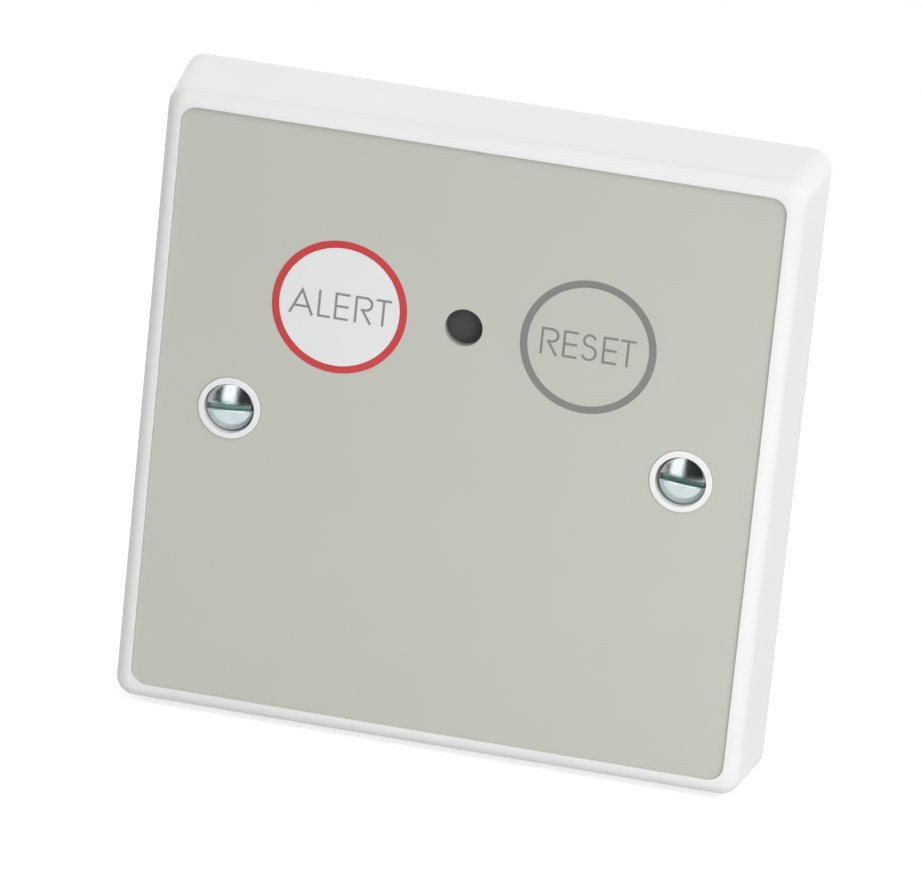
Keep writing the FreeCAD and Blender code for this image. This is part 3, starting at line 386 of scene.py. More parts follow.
# The two legends are drawn in plain strokes: for each letter its width, then the lines of its strokes
stem = foot = letter_stroke / 2
top = letter_height - foot
waist = 1.84
round_r = (top - waist) / 2
upper_s = 0.75
lower_s = (top - foot) / 2 - upper_s
letters = {
    "A": (3.33, [[(0.15, 0), (1.665, letter_height - 0.35), (3.18, 0)], [(0.62, 1.12), (2.71, 1.12)]]),
    "L": (1.75, [[(stem, letter_height), (stem, foot), (1.75, foot)]]),
    "E": (1.98, [[(1.98, top), (stem, top), (stem, foot), (1.95, foot)], [(stem, waist), (1.88, waist)]]),
    "R": (2.45, [[(stem, 0), (stem, top), (1.38, top)] + arc(1.43, waist + round_r, round_r, 90, -90)
                 + [(0.82, waist)], [(1.02, waist), (2.22, 0)]]),
    "T": (2.05, [[(0, top), (2.05, top)], [(1.025, top), (1.025, 0)]]),
    "S": (2.1, [arc(1.05, top - upper_s, upper_s, 15, 270, 24)
                + arc(1.05, foot + lower_s, lower_s, 90, -160, 24)[1:]]),
}


def legend(word, gaps, spot):
    """Outlines of a word's strokes, centred on a place."""
    width = sum(letters[letter][0] for letter in word) + sum(gaps)
    left = spot.x - width / 2
    outlines = []
    for letter, gap in zip(word, gaps + [0]):
        letter_width, strokes = letters[letter]
        for stroke in strokes:
            moved = [(left + x, spot.z - letter_height / 2 + z) for x, z in stroke]
            outlines.append(ribbon(moved, letter_stroke))
        left += letter_width + gap
    return outlines


def key_zone(name, spot, word, word_spot, gaps, disc_ink, ring_ink, word_ink):
    """The round of film over one key, out to the outer edge of its printed ring."""
    strokes = legend(word, gaps, word_spot)
    steps = 7
    slope = [dip_full + (key_edge - dip_full) * i / steps for i in range(steps + 1)]
    flat_top = [1.5, 3.2]
    loops = [circle(spot.x, spot.z, r) for r in flat_top + slope + [ring_inside, ring_outside]]
    ring_chord = ring_inside * math.cos(math.pi / round_steps)

    def away(x, z):
        return math.hypot(x - spot.x, z - spot.z)

    def pick(x, z):
        if away(x, z) > ring_outside:
            return None
        if away(x, z) > ring_chord:
            return 1
        return 2 if any(holds(stroke, x, z) for stroke in strokes) else 0

    def lift(x, z):
        return crown * min(1.0, max(0.0, (key_edge - away(x, z)) / (key_edge - dip_full)))

    zone = flat_piece(name, loops + strokes, [disc_ink, ring_ink, word_ink], pick, film_face, film_seat,
                      lift, lambda x, z: away(x, z) < ring_inside)
    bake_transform(zone)
    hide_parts("overlay_film")


key_zone("overlay_alert", alert_spot, "ALERT", alert_word, [0.51, 0.46, 0.71, 0.33],
         ink_white, ink_red, ink_legend)
key_zone("overlay_reset", reset_spot, "RESET", reset_word, [0.51, 0.45, 0.70, 0.32],
         ink_beige, ink_grey, ink_grey)

# Two M3.5 screws hold the plate to the wall box. They are turned from steel with a raised countersunk
# head and one straight slot, and plated with bright zinc that is passivated a faint blue-green.

head_radius = 3.15
head_dome = 0.6
head_land = 0.2
neck_radius = 1.55
thread_radius = 1.75
thread_depth = 0.36
thread_pitch = 0.6
thread_start = 0.3
thread_rows = 8
neck_end = thread_start + 0.2
tip_long, tip_thin = 0.5, 0.55
slot_wide, slot_deep = 0.7, 1.2
slot_turn = 4.4
slot_lip = 0.13
saw_overrun = 1.02
sits_out, sits_high = 0.13, -0.12
dome_ball = (head_radius ** 2 + head_dome ** 2) / (2 * head_dome)
slot_brink = dome_ball - math.sqrt(dome_ball ** 2 - (slot_wide / 2) ** 2)
crown_out = -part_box("fixing_screws")[0].y / MM + slot_brink
edge_out = crown_out - head_dome

zinc = new_finish("bright_zinc_plate", metal=1.0)
colour_patches(zinc, 1.5 * MM, tone(206, 220, 224), tone(221, 230, 231), 3)
gloss_patches(zinc, 0.8 * MM, 0.10, 0.20, 3)
waves = relief(zinc, patches(zinc, 1.2 * MM, 2), 0.010 * MM)
relief(zinc, patches(zinc, 0.16 * MM, 2), 0.008 * MM, waves)

# The slot is sawn after the head is turned and is duller than the head. Painted shade darkens its floor and
# fades to bright up its walls; its broken brink keeps the bright zinc
slot_floor_y = (slot_deep - crown_out) * MM
sawn_and_shaded = new_finish("sawn_slot_painted_shade", metal=1.0)
dark_from, bright_from = 0.15, 0.9
# Painted shade: darkest at the slot's floor, reaching the full bright tone 0.9 mm above it.
slot_shade_share = add(sawn_and_shaded, "ShaderNodeMapRange", Value=coordinates(sawn_and_shaded)["Y"], V1=slot_floor_y - dark_from * MM,
                  V2=slot_floor_y - bright_from * MM, V3=0.0, V4=1.0).outputs[0]
shader_link(sawn_and_shaded, blend_tones(sawn_and_shaded, slot_shade_share, tone(158, 190, 183), tone(226, 235, 234)), "Base Color")
saw_stroke = (6, 1, 1)
gloss_patches(sawn_and_shaded, 0.3 * MM, 0.35, 0.5, 3, saw_stroke)
relief(sawn_and_shaded, patches(sawn_and_shaded, 0.3 * MM, 3, saw_stroke), 0.006 * MM)


def dome_out(away):
    """How far out the domed head stands at a distance from its axis."""
    return crown_out - dome_ball + math.sqrt(dome_ball ** 2 - away ** 2)


def lathe(shape, x, z, rows, around, bite=None):
    """A turned solid about an axis across the plate, from rows of radius and distance out, both ends closed.
    bite(number of the row, share of a turn) is taken off the radius there."""
    rings = []
    for number, (radius, out) in enumerate(rows):
        ring = []
        for i in range(around):
            angle = math.tau * i / around
            here = radius - (bite(number, i / around) if bite else 0)
            spot = (x + here * math.cos(angle), -out, z + here * math.sin(angle))
            ring.append(shape.verts.new([MM * v for v in spot]))
        rings.append(ring)
    for upper, lower in zip(rings, rings[1:]):
        for i in range(around):
            j = (i + 1) % around
            shape.faces.new((upper[i], upper[j], lower[j], lower[i]))
    shape.faces.new(rings[0])
    shape.faces.new(rings[-1])
    bmesh.ops.recalc_face_normals(shape, faces=shape.faces)


def fixing_screw(shape, x, z):
    """One screw about an axis across the plate: domed head, cone, neck and thread down to the tip."""
    steps = 16
    rows = [(head_radius * i / steps, dome_out(head_radius * i / steps)) for i in range(1, steps + 1)]
    land_out = edge_out - head_land
    rows += [(head_radius, land_out), (neck_radius, land_out - head_radius + neck_radius)]
    rows.append((neck_radius, neck_end))
    plain = len(rows)
    out = thread_start
    while out > tip_out + tip_long + 0.1:
        run_in = min(1.0, (thread_start - out) / thread_pitch)
        rows.append((neck_radius + (thread_radius - neck_radius) * run_in, out))
        out -= thread_pitch / thread_rows
    rows += [(thread_radius - 0.1, tip_out + tip_long), (thread_radius - tip_thin, tip_out)]

    def thread(number, share):
        if number < plain or number > len(rows) - 2:
            return 0
        radius, out = rows[number]
        phase = (out / thread_pitch + share) % 1.0
        run_in = min(1.0, (thread_start - out) / thread_pitch)
        return run_in * thread_depth * abs(2 * phase - 1)

    lathe(shape, x, z, rows, 64, thread)


def slot_tool(shape, x, z, turned):
    """What the saw takes from a head: a straight slot whose lips are broken all along the dome."""
    half, floor_out = slot_wide / 2, crown_out - slot_deep
    stations = []
    steps = 14
    for i in range(steps + 1):
        along = head_radius * saw_overrun * (2 * i / steps - 1)
        skin = dome_out(min(abs(along), head_radius)) - slot_brink / 2
        profile = [(-half, floor_out), (-half, skin - slot_lip), (-half - slot_lip, skin),
                   (-half - 4 * slot_lip, skin + 3 * slot_lip)]
        profile += [(-across, out) for across, out in reversed(profile)]
        stations.append([Vector((along, -out, across)) for across, out in profile])
    turn = Matrix.Rotation(math.radians(turned), 3, "Y")
    rings = [[shape.verts.new((turn @ p + Vector((x, 0, z))) * MM) for p in profile] for profile in stations]
    for first, second in zip(rings, rings[1:]):
        for i in range(len(first)):
            j = (i + 1) % len(first)
            face = shape.faces.new((first[i], first[j], second[j], second[i]))
            face.material_index = 1 if i in (1, 5) else 0
    shape.faces.new(rings[0])
    shape.faces.new(rings[-1])
    bmesh.ops.recalc_face_normals(shape, faces=shape.faces)


def cut_away(piece, shape, finishes):
    """Take a shape away from a piece, with the shape's finishes on the cut."""
    tool = finish_piece("cutting_tool", shape, finishes)
    cutter = piece.modifiers.new("cut", "BOOLEAN")
    cutter.operation = "DIFFERENCE"
    cutter.object = tool
    cutter.solver = "EXACT"
    cutter.material_mode = "TRANSFER"
    evaluated = piece.evaluated_get(bpy.context.evaluated_depsgraph_get())
    result = bpy.data.meshes.new_from_object(evaluated)
    piece.modifiers.clear()
    piece.data = result
    result.set_sharp_from_angle(angle=math.radians(35))
    bpy.data.objects.remove(tool)


screws_shape, slots_shape = bmesh.new(), bmesh.new()
for side in (-1, 1):
    axis_x = side * (screw_away + sits_out)
    fixing_screw(screws_shape, axis_x, sits_high)
    slot_tool(slots_shape, axis_x, sits_high, side * slot_turn)
screws = finish_piece("slotted_screws", screws_shape, [zinc], 35)
cut_away(screws, slots_shape, [sawn_and_shaded, zinc])
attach(screws, "plate")
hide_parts("fixing_screws")

# The two keys are small mouldings behind the film, the alert one in milky white so that its lamps shine
# through, the reset one in grey. Each slides in its bore and is held in by its flange.

key_milk = surface("milky_moulding", (5, (232, 232, 229), (238, 238, 236)), (2, 0.38, 0.48), (0.4, 0.003))
shader_value(key_milk, "Subsurface Weight", 0.25)
shader_value(key_milk, "Subsurface Scale", 1.5 * MM)
dress("alert_key", key_milk)
key_grey = surface("grey_moulding", (5, (178, 179, 173), (188, 189, 184)), (2, 0.42, 0.52), (0.4, 0.003))
dress("reset_key", key_grey)

# Black gauze is stuck behind the sound port. It is woven from fine thread, so close that it reads as
# one dull dark grey from a step away.

gauze_black = new_finish("woven_gauze")
thread_gap = 0.6
threads = [add(gauze_black, "ShaderNodeTexWave", wave_type="BANDS", bands_direction=way,
               Vector=place(gauze_black), Scale=1 / (thread_gap * MM)).outputs["Fac"] for way in ("X", "Z")]
weave = math_node(gauze_black, "MAXIMUM", *threads)
shader_link(gauze_black, blend_tones(gauze_black, weave, tone(66, 66, 66), tone(96, 96, 95)), "Base Color")
gloss_patches(gauze_black, 1 * MM, 0.6, 0.8)
relief(gauze_black, weave, 0.05 * MM)
dress("port_gauze", gauze_black)

# The sounder is a black moulded cup with a hole in its face. A thin brass disc lies on a ledge inside,
# and a pressed-in base with two tinned pins closes it.

sounder_black = surface("black_moulding", (4, (38, 38, 39), (48, 48, 48)), (1.5, 0.38, 0.55), (0.3, 0.004))
dress("sounder_case", sounder_black)
dress("sounder_base", sounder_black)
brass = surface("rolled_brass", (3, (214, 180, 110), (226, 196, 130), 3), (1, 0.29, 0.42, 3),
                (0.08, 0.002, 2, (12, 1, 1)), metal=1.0)
dress("sounder_disc", brass)
tin = surface("tinned_wire", (1.5, (205, 206, 203), (222, 223, 221)), (0.6, 0.29, 0.4, 3), (0.3, 0.004),
              metal=1.0)
dress("sounder_pins", tin)

# The circuit board is woven glass in resin, with a green solder mask over the copper on both its sides.
# The tracks show through the mask as paler lines, and plated holes carry some of them to the other side.

mask_green = surface("green_solder_mask", (6, (24, 82, 50), (30, 92, 57)), (3, 0.29, 0.38), (0.5, 0.004, 1))
dress("circuit_board", mask_green)
mask_on_copper = surface("mask_over_copper", (4, (54, 122, 72), (62, 134, 82)), (3, 0.29, 0.38),
                         (0.5, 0.004, 1))
board_front_y, board_back_y = (corner.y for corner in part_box("circuit_board"))
bedded, track_proud = 0.01, 0.03


def on_board(name, finish, loops, proud, in_front=False, gaps=()):
    """A thin layer on one side of the board, wherever a closed outline holds the place and no gap does."""
    front, back = board_back_y - bedded * MM, board_back_y + proud * MM
    if in_front:
        front, back = board_front_y - proud * MM, board_front_y + bedded * MM

    def pick(x, z):
        if any(holds(gap, x, z) for gap in gaps):
            return None
        return 0 if any(holds(loop, x, z) for loop in loops) else None

    layer = flat_piece(name, list(loops) + list(gaps), [finish], pick, front, back)
    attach(layer, "plate")


def row_of(node, count):
    """Middles of the pieces that stand in one row in a node of the frame."""
    low, high = (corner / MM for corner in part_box(node))
    half = (high.z - low.z) / 2
    step = (high.x - low.x - 2 * half) / (count - 1)
    return [(low.x + half + i * step, low.z + half) for i in range(count)]


# Where the parts are soldered, in millimetres right of the middle and up
way_spots = row_of("terminal_pins", 4)
buzzer_spots = row_of("sounder_pins", 2)
resistor_spots = [middle_of(f"resistor_{number}") / MM for number in range(1, 5)]
chip_spot, can_spot = middle_of("control_chip") / MM, middle_of("capacitor_can") / MM
diode_spot = middle_of("polarity_diode") / MM
switch_spots = [middle_of(f"{owner}_switch_base") / MM for owner in ("alert", "reset")]
lamp_spots = [middle_of(f"alert_lamp_{which}") / MM for which in ("upper", "lower")]
leg_pitch, leg_away = 1.27, 2.6
resistor_half, diode_half, can_half, lamp_half = 1.9, 2.6, 3.7, 1.9
foot_across, foot_up = 4.2, 2.25
leg_x = [chip_spot.x + leg_pitch * i for i in range(-3, 4)]
low_legs, high_legs = ([(x, chip_spot.z + way * leg_away) for x in leg_x] for way in (-1, 1))
low_ends, high_ends = ([(spot.x, spot.z + way * resistor_half) for spot in resistor_spots] for way in (-1, 1))
diode_in, diode_out = ((diode_spot.x + way * diode_half, diode_spot.z) for way in (-1, 1))
can_minus, can_plus = ((can_spot.x + way * (can_half + 0.5), can_spot.z) for way in (-1, 1))
feet = [(way, spot.x + way * foot_across, spot.z + up * foot_up)
        for spot in switch_spots for way in (-1, 1) for up in (-1, 1)]
r1, r2, r3, r4 = (spot.x for spot in resistor_spots)
edge_x, edge_z = 23.8, 31.8
vias = [(r2, low_ends[1][1] - 3.0), (r4 + 2.2, -9.5), (leg_x[0] - 8.6, 13.4), (leg_x[1] - 2.6, 12.4),
        (leg_x[2], 16.4), (11.9, 13.4), (20.0, -12.4), (-20.0, -6.0)]

# Each track: its width, then the points that it runs through
back_tracks = [
    (0.7, [way_spots[0], (-12.0, -12.5), (r1, -9.5), low_ends[0]]),
    (0.5, [low_ends[1], vias[0]]),
    (0.5, [way_spots[1], (-2.5, -14.5), (r3, -9.2), low_ends[2]]),
    (0.5, [way_spots[2], (2.5, -14.0), vias[1], (r4, -9.5), low_ends[3]]),
    (1.3, [way_spots[3], (7.5, -12.0), (diode_in[0], -8.4), diode_in]),
    (1.3, [diode_out, (can_plus[0], -3.9), can_plus]),
    (0.5, [high_ends[0], (r1, -2.2), (leg_x[0], 0.0), low_legs[0]]),
    (0.5, [high_ends[1], (r2, -0.6), (leg_x[1], -0.4), low_legs[1]]),
    (0.5, [high_ends[2], (r3, -1.2), (leg_x[3], 0.0), low_legs[3]]),
    (0.5, [high_ends[3], (r4, -2.6), (leg_x[5], -0.3), low_legs[5]]),
    (0.5, [low_legs[6], (leg_x[6], 0.2), (-3.9, -1.1), (4.4, -1.1), can_minus]),
    (0.4, [high_legs[0], (leg_x[0], 8.4), (-16.0, 11.6), (-19.6, 11.6), vias[2]]),
    (0.4, [high_legs[1], (leg_x[1], 9.8), vias[3]]),
    (0.4, [high_legs[2], vias[4]]),
    (0.5, [high_legs[3], (leg_x[3], 9.5), (buzzer_spots[0][0], 14.95), buzzer_spots[0]]),
    (0.5, [high_legs[4], (leg_x[4], 8.6), (-4.5, 11.83), (1.98, 11.83), (2.95, 12.8), buzzer_spots[1]]),
    (0.4, [high_legs[5], (leg_x[5], 7.9), (-4.2, 10.2), (8.7, 10.2), vias[5]]),
    (0.8, [high_legs[6], (leg_x[6], 7.6), (-4.1, 8.7), (can_plus[0], 8.7), can_plus]),
    (1.3, [way_spots[3], (15.6, -17.0), vias[6], (20.0, 1.0), (can_plus[0], 3.0), can_plus]),
    (1.0, [(0.0, -edge_z), (-edge_x, -edge_z), (-edge_x, edge_z), (edge_x, edge_z), (edge_x, -edge_z),
           (0.0, -edge_z)]),
    (0.7, [(-edge_x, -6.0), vias[7], (-17.5, -3.5), high_ends[0]]),
]
on_board("board_tracks", mask_on_copper, [ribbon(line, wide) for wide, line in back_tracks],
         track_proud)

left_foot, right_foot = switch_spots[0].x - foot_across, switch_spots[1].x + foot_across
low_foot, high_foot = (switch_spots[0].z + way * foot_up for way in (-1, 1))
upper_lamp, lower_lamp = ([(spot.x + way * lamp_half, spot.z) for way in (-1, 1)] for spot in lamp_spots)
front_tracks = [
    (0.4, [vias[2], (left_foot, low_foot)]),
    (0.4, [vias[3], (vias[3][0], lower_lamp[1][1] + 0.8), lower_lamp[1]]),
    (0.4, [vias[4], (vias[4][0], 19.0), (-13.5, upper_lamp[1][1]), upper_lamp[1]]),
    (0.4, [vias[5], (switch_spots[1].x - foot_across, low_foot)]),
    (0.7, [vias[7], (-23.0, -3.0), (-23.0, high_foot - 2.0), (left_foot, high_foot)]),
    (0.5, [(-23.0, lower_lamp[0][1]), lower_lamp[0]]),
    (0.5, [(-23.0, high_foot - 2.0), (-23.0, 20.0), (-20.8, upper_lamp[0][1]), upper_lamp[0]]),
    (0.7, [vias[6], (22.6, -9.8), (22.6, high_foot - 2.2), (right_foot, high_foot)]),
    (1.3, [way_spots[3], (15.4, -17.0), vias[6]]),
    (0.5, [vias[0], (-10.5, -9.5), vias[1]]),
]
on_board("front_tracks", mask_on_copper, [ribbon(line, wide) for wide, line in front_tracks],
         track_proud, in_front=True)

# Bare pads of tinned copper lie under every soldered part, and rings of it stand round the plated holes.
# Soft solder wets the parts' ends and pins and thins out towards the pads' edges.

solder = surface("soft_solder", (1.2, (190, 192, 192), (212, 213, 212), 3), (0.5, 0.29, 0.4, 3), (0.4, 0.01),
                 metal=1.0)
leg_pad, resistor_pad, diode_pad, can_pad = (0.32, 0.75), (0.95, 0.65), (0.95, 1.2), (1.2, 0.9)
foot_pad, lamp_pad = (0.85, 0.6), (0.6, 1.0)
buzzer_pad, way_pad, via_pad, via_hole = 1.1, 1.25, 0.5, 0.18
pad_proud = 0.05


def pad(x, z, half_wide, half_tall):
    """The outline of a rectangle about its middle."""
    return [(x + i * half_wide, z + j * half_tall) for i, j in ((-1, -1), (1, -1), (1, 1), (-1, 1))]


via_holes = [circle(x, z, via_hole, 16) for x, z in vias]
via_pads = [circle(x, z, via_pad, 24) for x, z in vias]
pads = [pad(x, z, *leg_pad) for ends in zip(low_legs, high_legs) for x, z in ends]
pads += [pad(x, z, *resistor_pad) for ends in zip(low_ends, high_ends) for x, z in ends]
pads += [pad(x, z, *diode_pad) for x, z in (diode_in, diode_out)]
pads += [pad(can_spot.x + way * can_half, can_spot.z, *can_pad) for way in (-1, 1)]
pads += [circle(x, z, buzzer_pad, 32) for x, z in buzzer_spots]
on_board("back_pads", solder, pads + via_pads, pad_proud, gaps=via_holes)
pads = [circle(x, z, way_pad, 32) for x, z in way_spots] + via_pads
pads += [pad(x, z, *foot_pad) for way, x, z in feet]
pads += [pad(x, z, *lamp_pad) for x, z in upper_lamp + lower_lamp]
on_board("front_pads", solder, pads, pad_proud, in_front=True, gaps=via_holes)


def solder_run(shape, near, far, wide, tall, in_front=False):
    """Solder that runs from a part's end down to the edge of its pad."""
    board_y, outward = (board_front_y, -1) if in_front else (board_back_y, 1)
    near, far = Vector(near), Vector(far)
    along = far - near
    side = Vector((-along.y, along.x)).normalized() * wide / 2
    profile = [(0.0, -0.02), (0.0, tall), (0.3, 0.5 * tall), (0.65, 0.2 * tall), (1.0, 0.06), (1.0, -0.02)]
    ends = []
    for across in (side, -side):
        spots = [(near + along * share + across, high) for share, high in profile]
        places = [(p.x * MM, board_y + outward * high * MM, p.y * MM) for p, high in spots]
        ends.append([shape.verts.new(p) for p in places])
    for i in range(len(profile)):
        j = (i + 1) % len(profile)
        shape.faces.new((ends[0][i], ends[0][j], ends[1][j], ends[1][i]))
    shape.faces.new(ends[0])
    shape.faces.new(ends[1])


def solder_cone(shape, x, z, board_out, outward, foot, pin, tall):
    """A round fillet about a pin, on the side of the board that faces outward, 1 or -1."""
    curve = [(1.0, -0.02), (1.0, 0.06), (0.72, 0.16), (0.45, 0.36), (0.22, 0.64), (0.08, 0.9), (0.0, 1.0)]
    rows = [(pin + (foot - pin) * share, board_out + outward * high * tall) for share, high in curve]
    lathe(shape, x, z, rows, 24)


joints = bmesh.new()
for x, z in buzzer_spots:
    solder_cone(joints, x, z, -board_back_y / MM, -1, foot=1.0, pin=0.36, tall=1.0)
for x, z in way_spots:
    solder_cone(joints, x, z, -board_front_y / MM, 1, foot=1.15, pin=0.66, tall=0.95)
for ends in zip(low_legs, high_legs):
    for way, (x, z) in zip((-1, 1), ends):
        solder_run(joints, (x, z + way * 0.3), (x, z + way * 0.7), wide=0.5, tall=0.3)
for ends in zip(low_ends, high_ends):
    for way, (x, z) in zip((-1, 1), ends):
        solder_run(joints, (x, z - way * 0.32), (x, z + way * 0.6), wide=1.5, tall=0.42)
for way in (-1, 1):
    for spot, near, far, wide, tall in ((diode_spot, 2.18, 3.45, 1.9, 1.0), (can_spot, 3.28, 4.8, 1.3, 0.5)):
        solder_run(joints, (spot.x + way * near, spot.z), (spot.x + way * far, spot.z), wide, tall)
for way, x, z in feet:
    solder_run(joints, (x + way * 0.25, z), (x + way * 0.8, z), wide=0.9, tall=0.3, in_front=True)
for ends in (upper_lamp, lower_lamp):
    for way, (x, z) in zip((-1, 1), ends):
        solder_run(joints, (x - way * 0.32, z), (x + way * 0.5, z), wide=1.7, tall=0.7, in_front=True)
bmesh.ops.recalc_face_normals(joints, faces=joints.faces)
solder_joints = finish_piece("solder_joints", joints, [solder], 40)
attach(solder_joints, "plate")

# White lines printed on the mask show where each part goes. A dot marks the chip's first leg, a bar the
# banded end of the diode, and a plus the first end of the capacitor.

printed_white = surface("printed_lines", (2, (222, 224, 218), (232, 233, 228)), (1, 0.45, 0.6), (0.2, 0.003))
line_wide, line_proud = 0.2, 0.02


def upright(x, z, half):
    """A line that stands on end about its middle."""
    return [(x, z - half), (x, z + half)]


def level_line(x, z, half):
    """A line that lies level about its middle."""
    return [(x - half, z), (x + half, z)]


chip_line, resistor_line, diode_line, can_line, block_line = 4.8, 1.25, 1.7, 3.7, 0.4
lines = [upright(chip_spot.x + way * chip_line, chip_spot.z, 3.3) for way in (-1, 1)]
lines += [upright(spot.x + way * resistor_line, spot.z, 2.8) for spot in resistor_spots for way in (-1, 1)]
lines += [level_line(diode_spot.x, diode_spot.z + way * diode_line, 3.9) for way in (-1, 1)]
lines += [upright(diode_spot.x + 3.9, diode_spot.z, 1.8)]
for way in (-1, 1):
    bracket = [(-can_line, way * 1.3), (-can_line, way * can_line),
               (can_line, way * can_line), (can_line, way * 1.3)]
    lines.append([(can_spot.x + x, can_spot.z + z) for x, z in bracket])
lines += [draw(can_spot.x - 5.0, can_spot.z + 2.3, 0.7) for draw in (level_line, upright)]
block_low, block_high = (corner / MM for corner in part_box("terminal_block"))
x0, z0 = block_low.x - block_line, block_low.z - block_line
x1, z1 = block_high.x + block_line, block_high.z + block_line
lines += [[(0, z0), (x0, z0), (x0, z1), (x1, z1), (x1, z0), (0, z0)]]
leg_dot = circle(chip_spot.x - chip_line, chip_spot.z - 3.9, 0.3, 20)
on_board("board_marks", printed_white, [ribbon(line, line_wide) for line in lines] + [leg_dot],
         line_proud)

buzzer = middle_of("sounder_case") / MM
lines = [level_line(spot.x, spot.z + way * 3.4, 3.3) for spot in switch_spots for way in (-1, 1)]
lines += [level_line(spot.x, spot.z + way * 1.7, 2.8) for spot, way in zip(lamp_spots, (1, -1))]
lines += [arc(buzzer.x, buzzer.z, 6.4, 0, 359, 96)]
on_board("front_marks", printed_white, [ribbon(line, line_wide) for line in lines], line_proud,
         in_front=True)

# Four self-tapping screws hold the board, each in the pilot hole of a post. They are steel with dull
# zinc plate and have a cross in the head.

steel = surface("zinc_plated_steel", (2, (186, 187, 189), (204, 205, 207), 3), (0.8, 0.29, 0.42, 3),
                (0.35, 0.004), metal=1.0)
dress("board_screws", steel)

# Each key presses a tactile switch: a black base, a cream stem and a folded steel cover. The snap dome
# under the stem is sprung sheet, so its rim stays in the base while its crown goes down with the stem.

switch_black = surface("switch_moulding", (2, (40, 40, 41), (50, 50, 50)), (1, 0.45, 0.6), (0.25, 0.004))
stamped_steel = surface("stamped_steel", (2, (196, 196, 195), (212, 212, 211)),
                        (0.5, 0.29, 0.38, 3, (8, 8, 1)), (0.2, 0.002, 2, (8, 8, 1)), metal=1.0)
stem_cream = surface("stem_moulding", (2, (222, 221, 214), (230, 229, 223)), (1, 0.36, 0.5), (0.3, 0.003))
dome_sheet = 0.12
dome_rings = 16
for owner in ("alert", "reset"):
    dress(f"{owner}_switch_base", switch_black)
    dress(f"{owner}_switch_stem", stem_cream)
    dress(f"{owner}_switch_cover", stamped_steel)
    dress(f"{owner}_switch_legs", tin)
    dome_low, dome_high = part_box(f"{owner}_switch_dome")
    dome_middle, dome_radius = (dome_low + dome_high) / 2 / MM, (dome_high.x - dome_low.x) / 2 / MM
    dome_foot, dome_top = -dome_high.y / MM, -dome_low.y / MM
    dome_rise = dome_top - dome_foot - dome_sheet
    dome_round = (dome_radius ** 2 + dome_rise ** 2) / (2 * dome_rise)
    rows = []
    for i in range(1, dome_rings + 1):
        away = dome_radius * i / dome_rings
        rows.append((away, dome_top - dome_round + math.sqrt(dome_round ** 2 - away ** 2)))
    thinner = 1 - dome_sheet / dome_radius
    inner = [(away * thinner, max(dome_foot, out - dome_sheet)) for away, out in reversed(rows)]
    dome_shape = bmesh.new()
    lathe(dome_shape, dome_middle.x, dome_middle.z, rows + [(dome_radius, dome_foot)] + inner, 64)
    dome = finish_piece(f"{owner}_snap_dome", dome_shape, [stamped_steel])
    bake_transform(dome)
    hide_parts(f"{owner}_switch_dome")

# Two small lamps beside the alert switch light the white disc from behind. Each is a white moulded case
# with a dish in its face, filled with yellow phosphor.

lamp_case = surface("lamp_moulding", (1.5, (232, 230, 220), (240, 238, 230)), (1, 0.3, 0.42), (0.3, 0.002))
phosphor = surface("lamp_phosphor", (0.8, (232, 206, 96), (240, 218, 118)), (0.5, 0.29, 0.36), (0.3, 0.003))
window_radius, dish_deep, dish_fill = 1.04, 0.6, 0.12
for which in ("upper", "lower"):
    dress(f"alert_lamp_{which}", lamp_case)
    lamp_spot = middle_of(f"alert_lamp_{which}") / MM
    dish_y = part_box(f"alert_lamp_{which}")[0].y + dish_deep * MM
    window = circle(lamp_spot.x, lamp_spot.z, window_radius, 32)
    dish = flat_piece(f"lamp_window_{which}", [window], [phosphor],
                      lambda x, z: 0 if holds(window, x, z) else None,
                      dish_y - dish_fill * MM, dish_y + bedded * MM)
    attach(dish, "plate")

# The terminal block takes the wires of the call line at its bottom. Its body is moulded in green nylon
# round four brass clamps, and each clamp's slotted screw is driven from behind.

block_green = surface("green_nylon", (4, (84, 158, 100), (94, 170, 110)), (2, 0.36, 0.5), (0.3, 0.005))
dress("terminal_block", block_green)
dress("terminal_clamps", brass)
dress("terminal_screws", steel)
dress("terminal_pins", tin)

# The control chip and the diode are moulded round their metal in black epoxy. A dimple in the chip shows
# its first leg, and a printed grey band shows which way round the diode goes.

epoxy_black = surface("moulded_epoxy", (1.2, (44, 44, 46), (56, 56, 58)), (0.8, 0.5, 0.66), (0.12, 0.006))
dress("polarity_diode", epoxy_black)
dress("control_chip_legs", tin)
chip = bpy.data.objects.new("chip_body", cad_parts["control_chip"].data.copy())
bpy.context.scene.collection.objects.link(chip)
chip.data.materials.clear()
chip.data.materials.append(epoxy_black)
chip_out = -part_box("control_chip")[1].y / MM
dimple = bmesh.new()
lathe(dimple, chip_spot.x - 3.5, chip_spot.z - 1.1, [(0.4, chip_out + 0.1), (0.45, chip_out - 0.1)], 32)
cut_away(chip, dimple, [epoxy_black])
chip.data.shade_flat()
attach(chip, "plate")
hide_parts("control_chip")

band_grey = surface("band_print", (1, (186, 187, 186), (198, 199, 197)), (0.6, 0.45, 0.6), (0.12, 0.004))
band_loop = pad(diode_spot.x + 1.3, diode_spot.z, 0.3, 0.88)
print_thick = 0.01
band_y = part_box("polarity_diode")[1].y
band = flat_piece("diode_band", [band_loop], [band_grey], lambda x, z: 0,
                  band_y - print_thick * MM, band_y + print_thick * MM)
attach(band, "plate")

# The smoothing capacitor is a drawn aluminium can, crimped into a black moulded foot. A black field
# printed on its end marks its second lead.

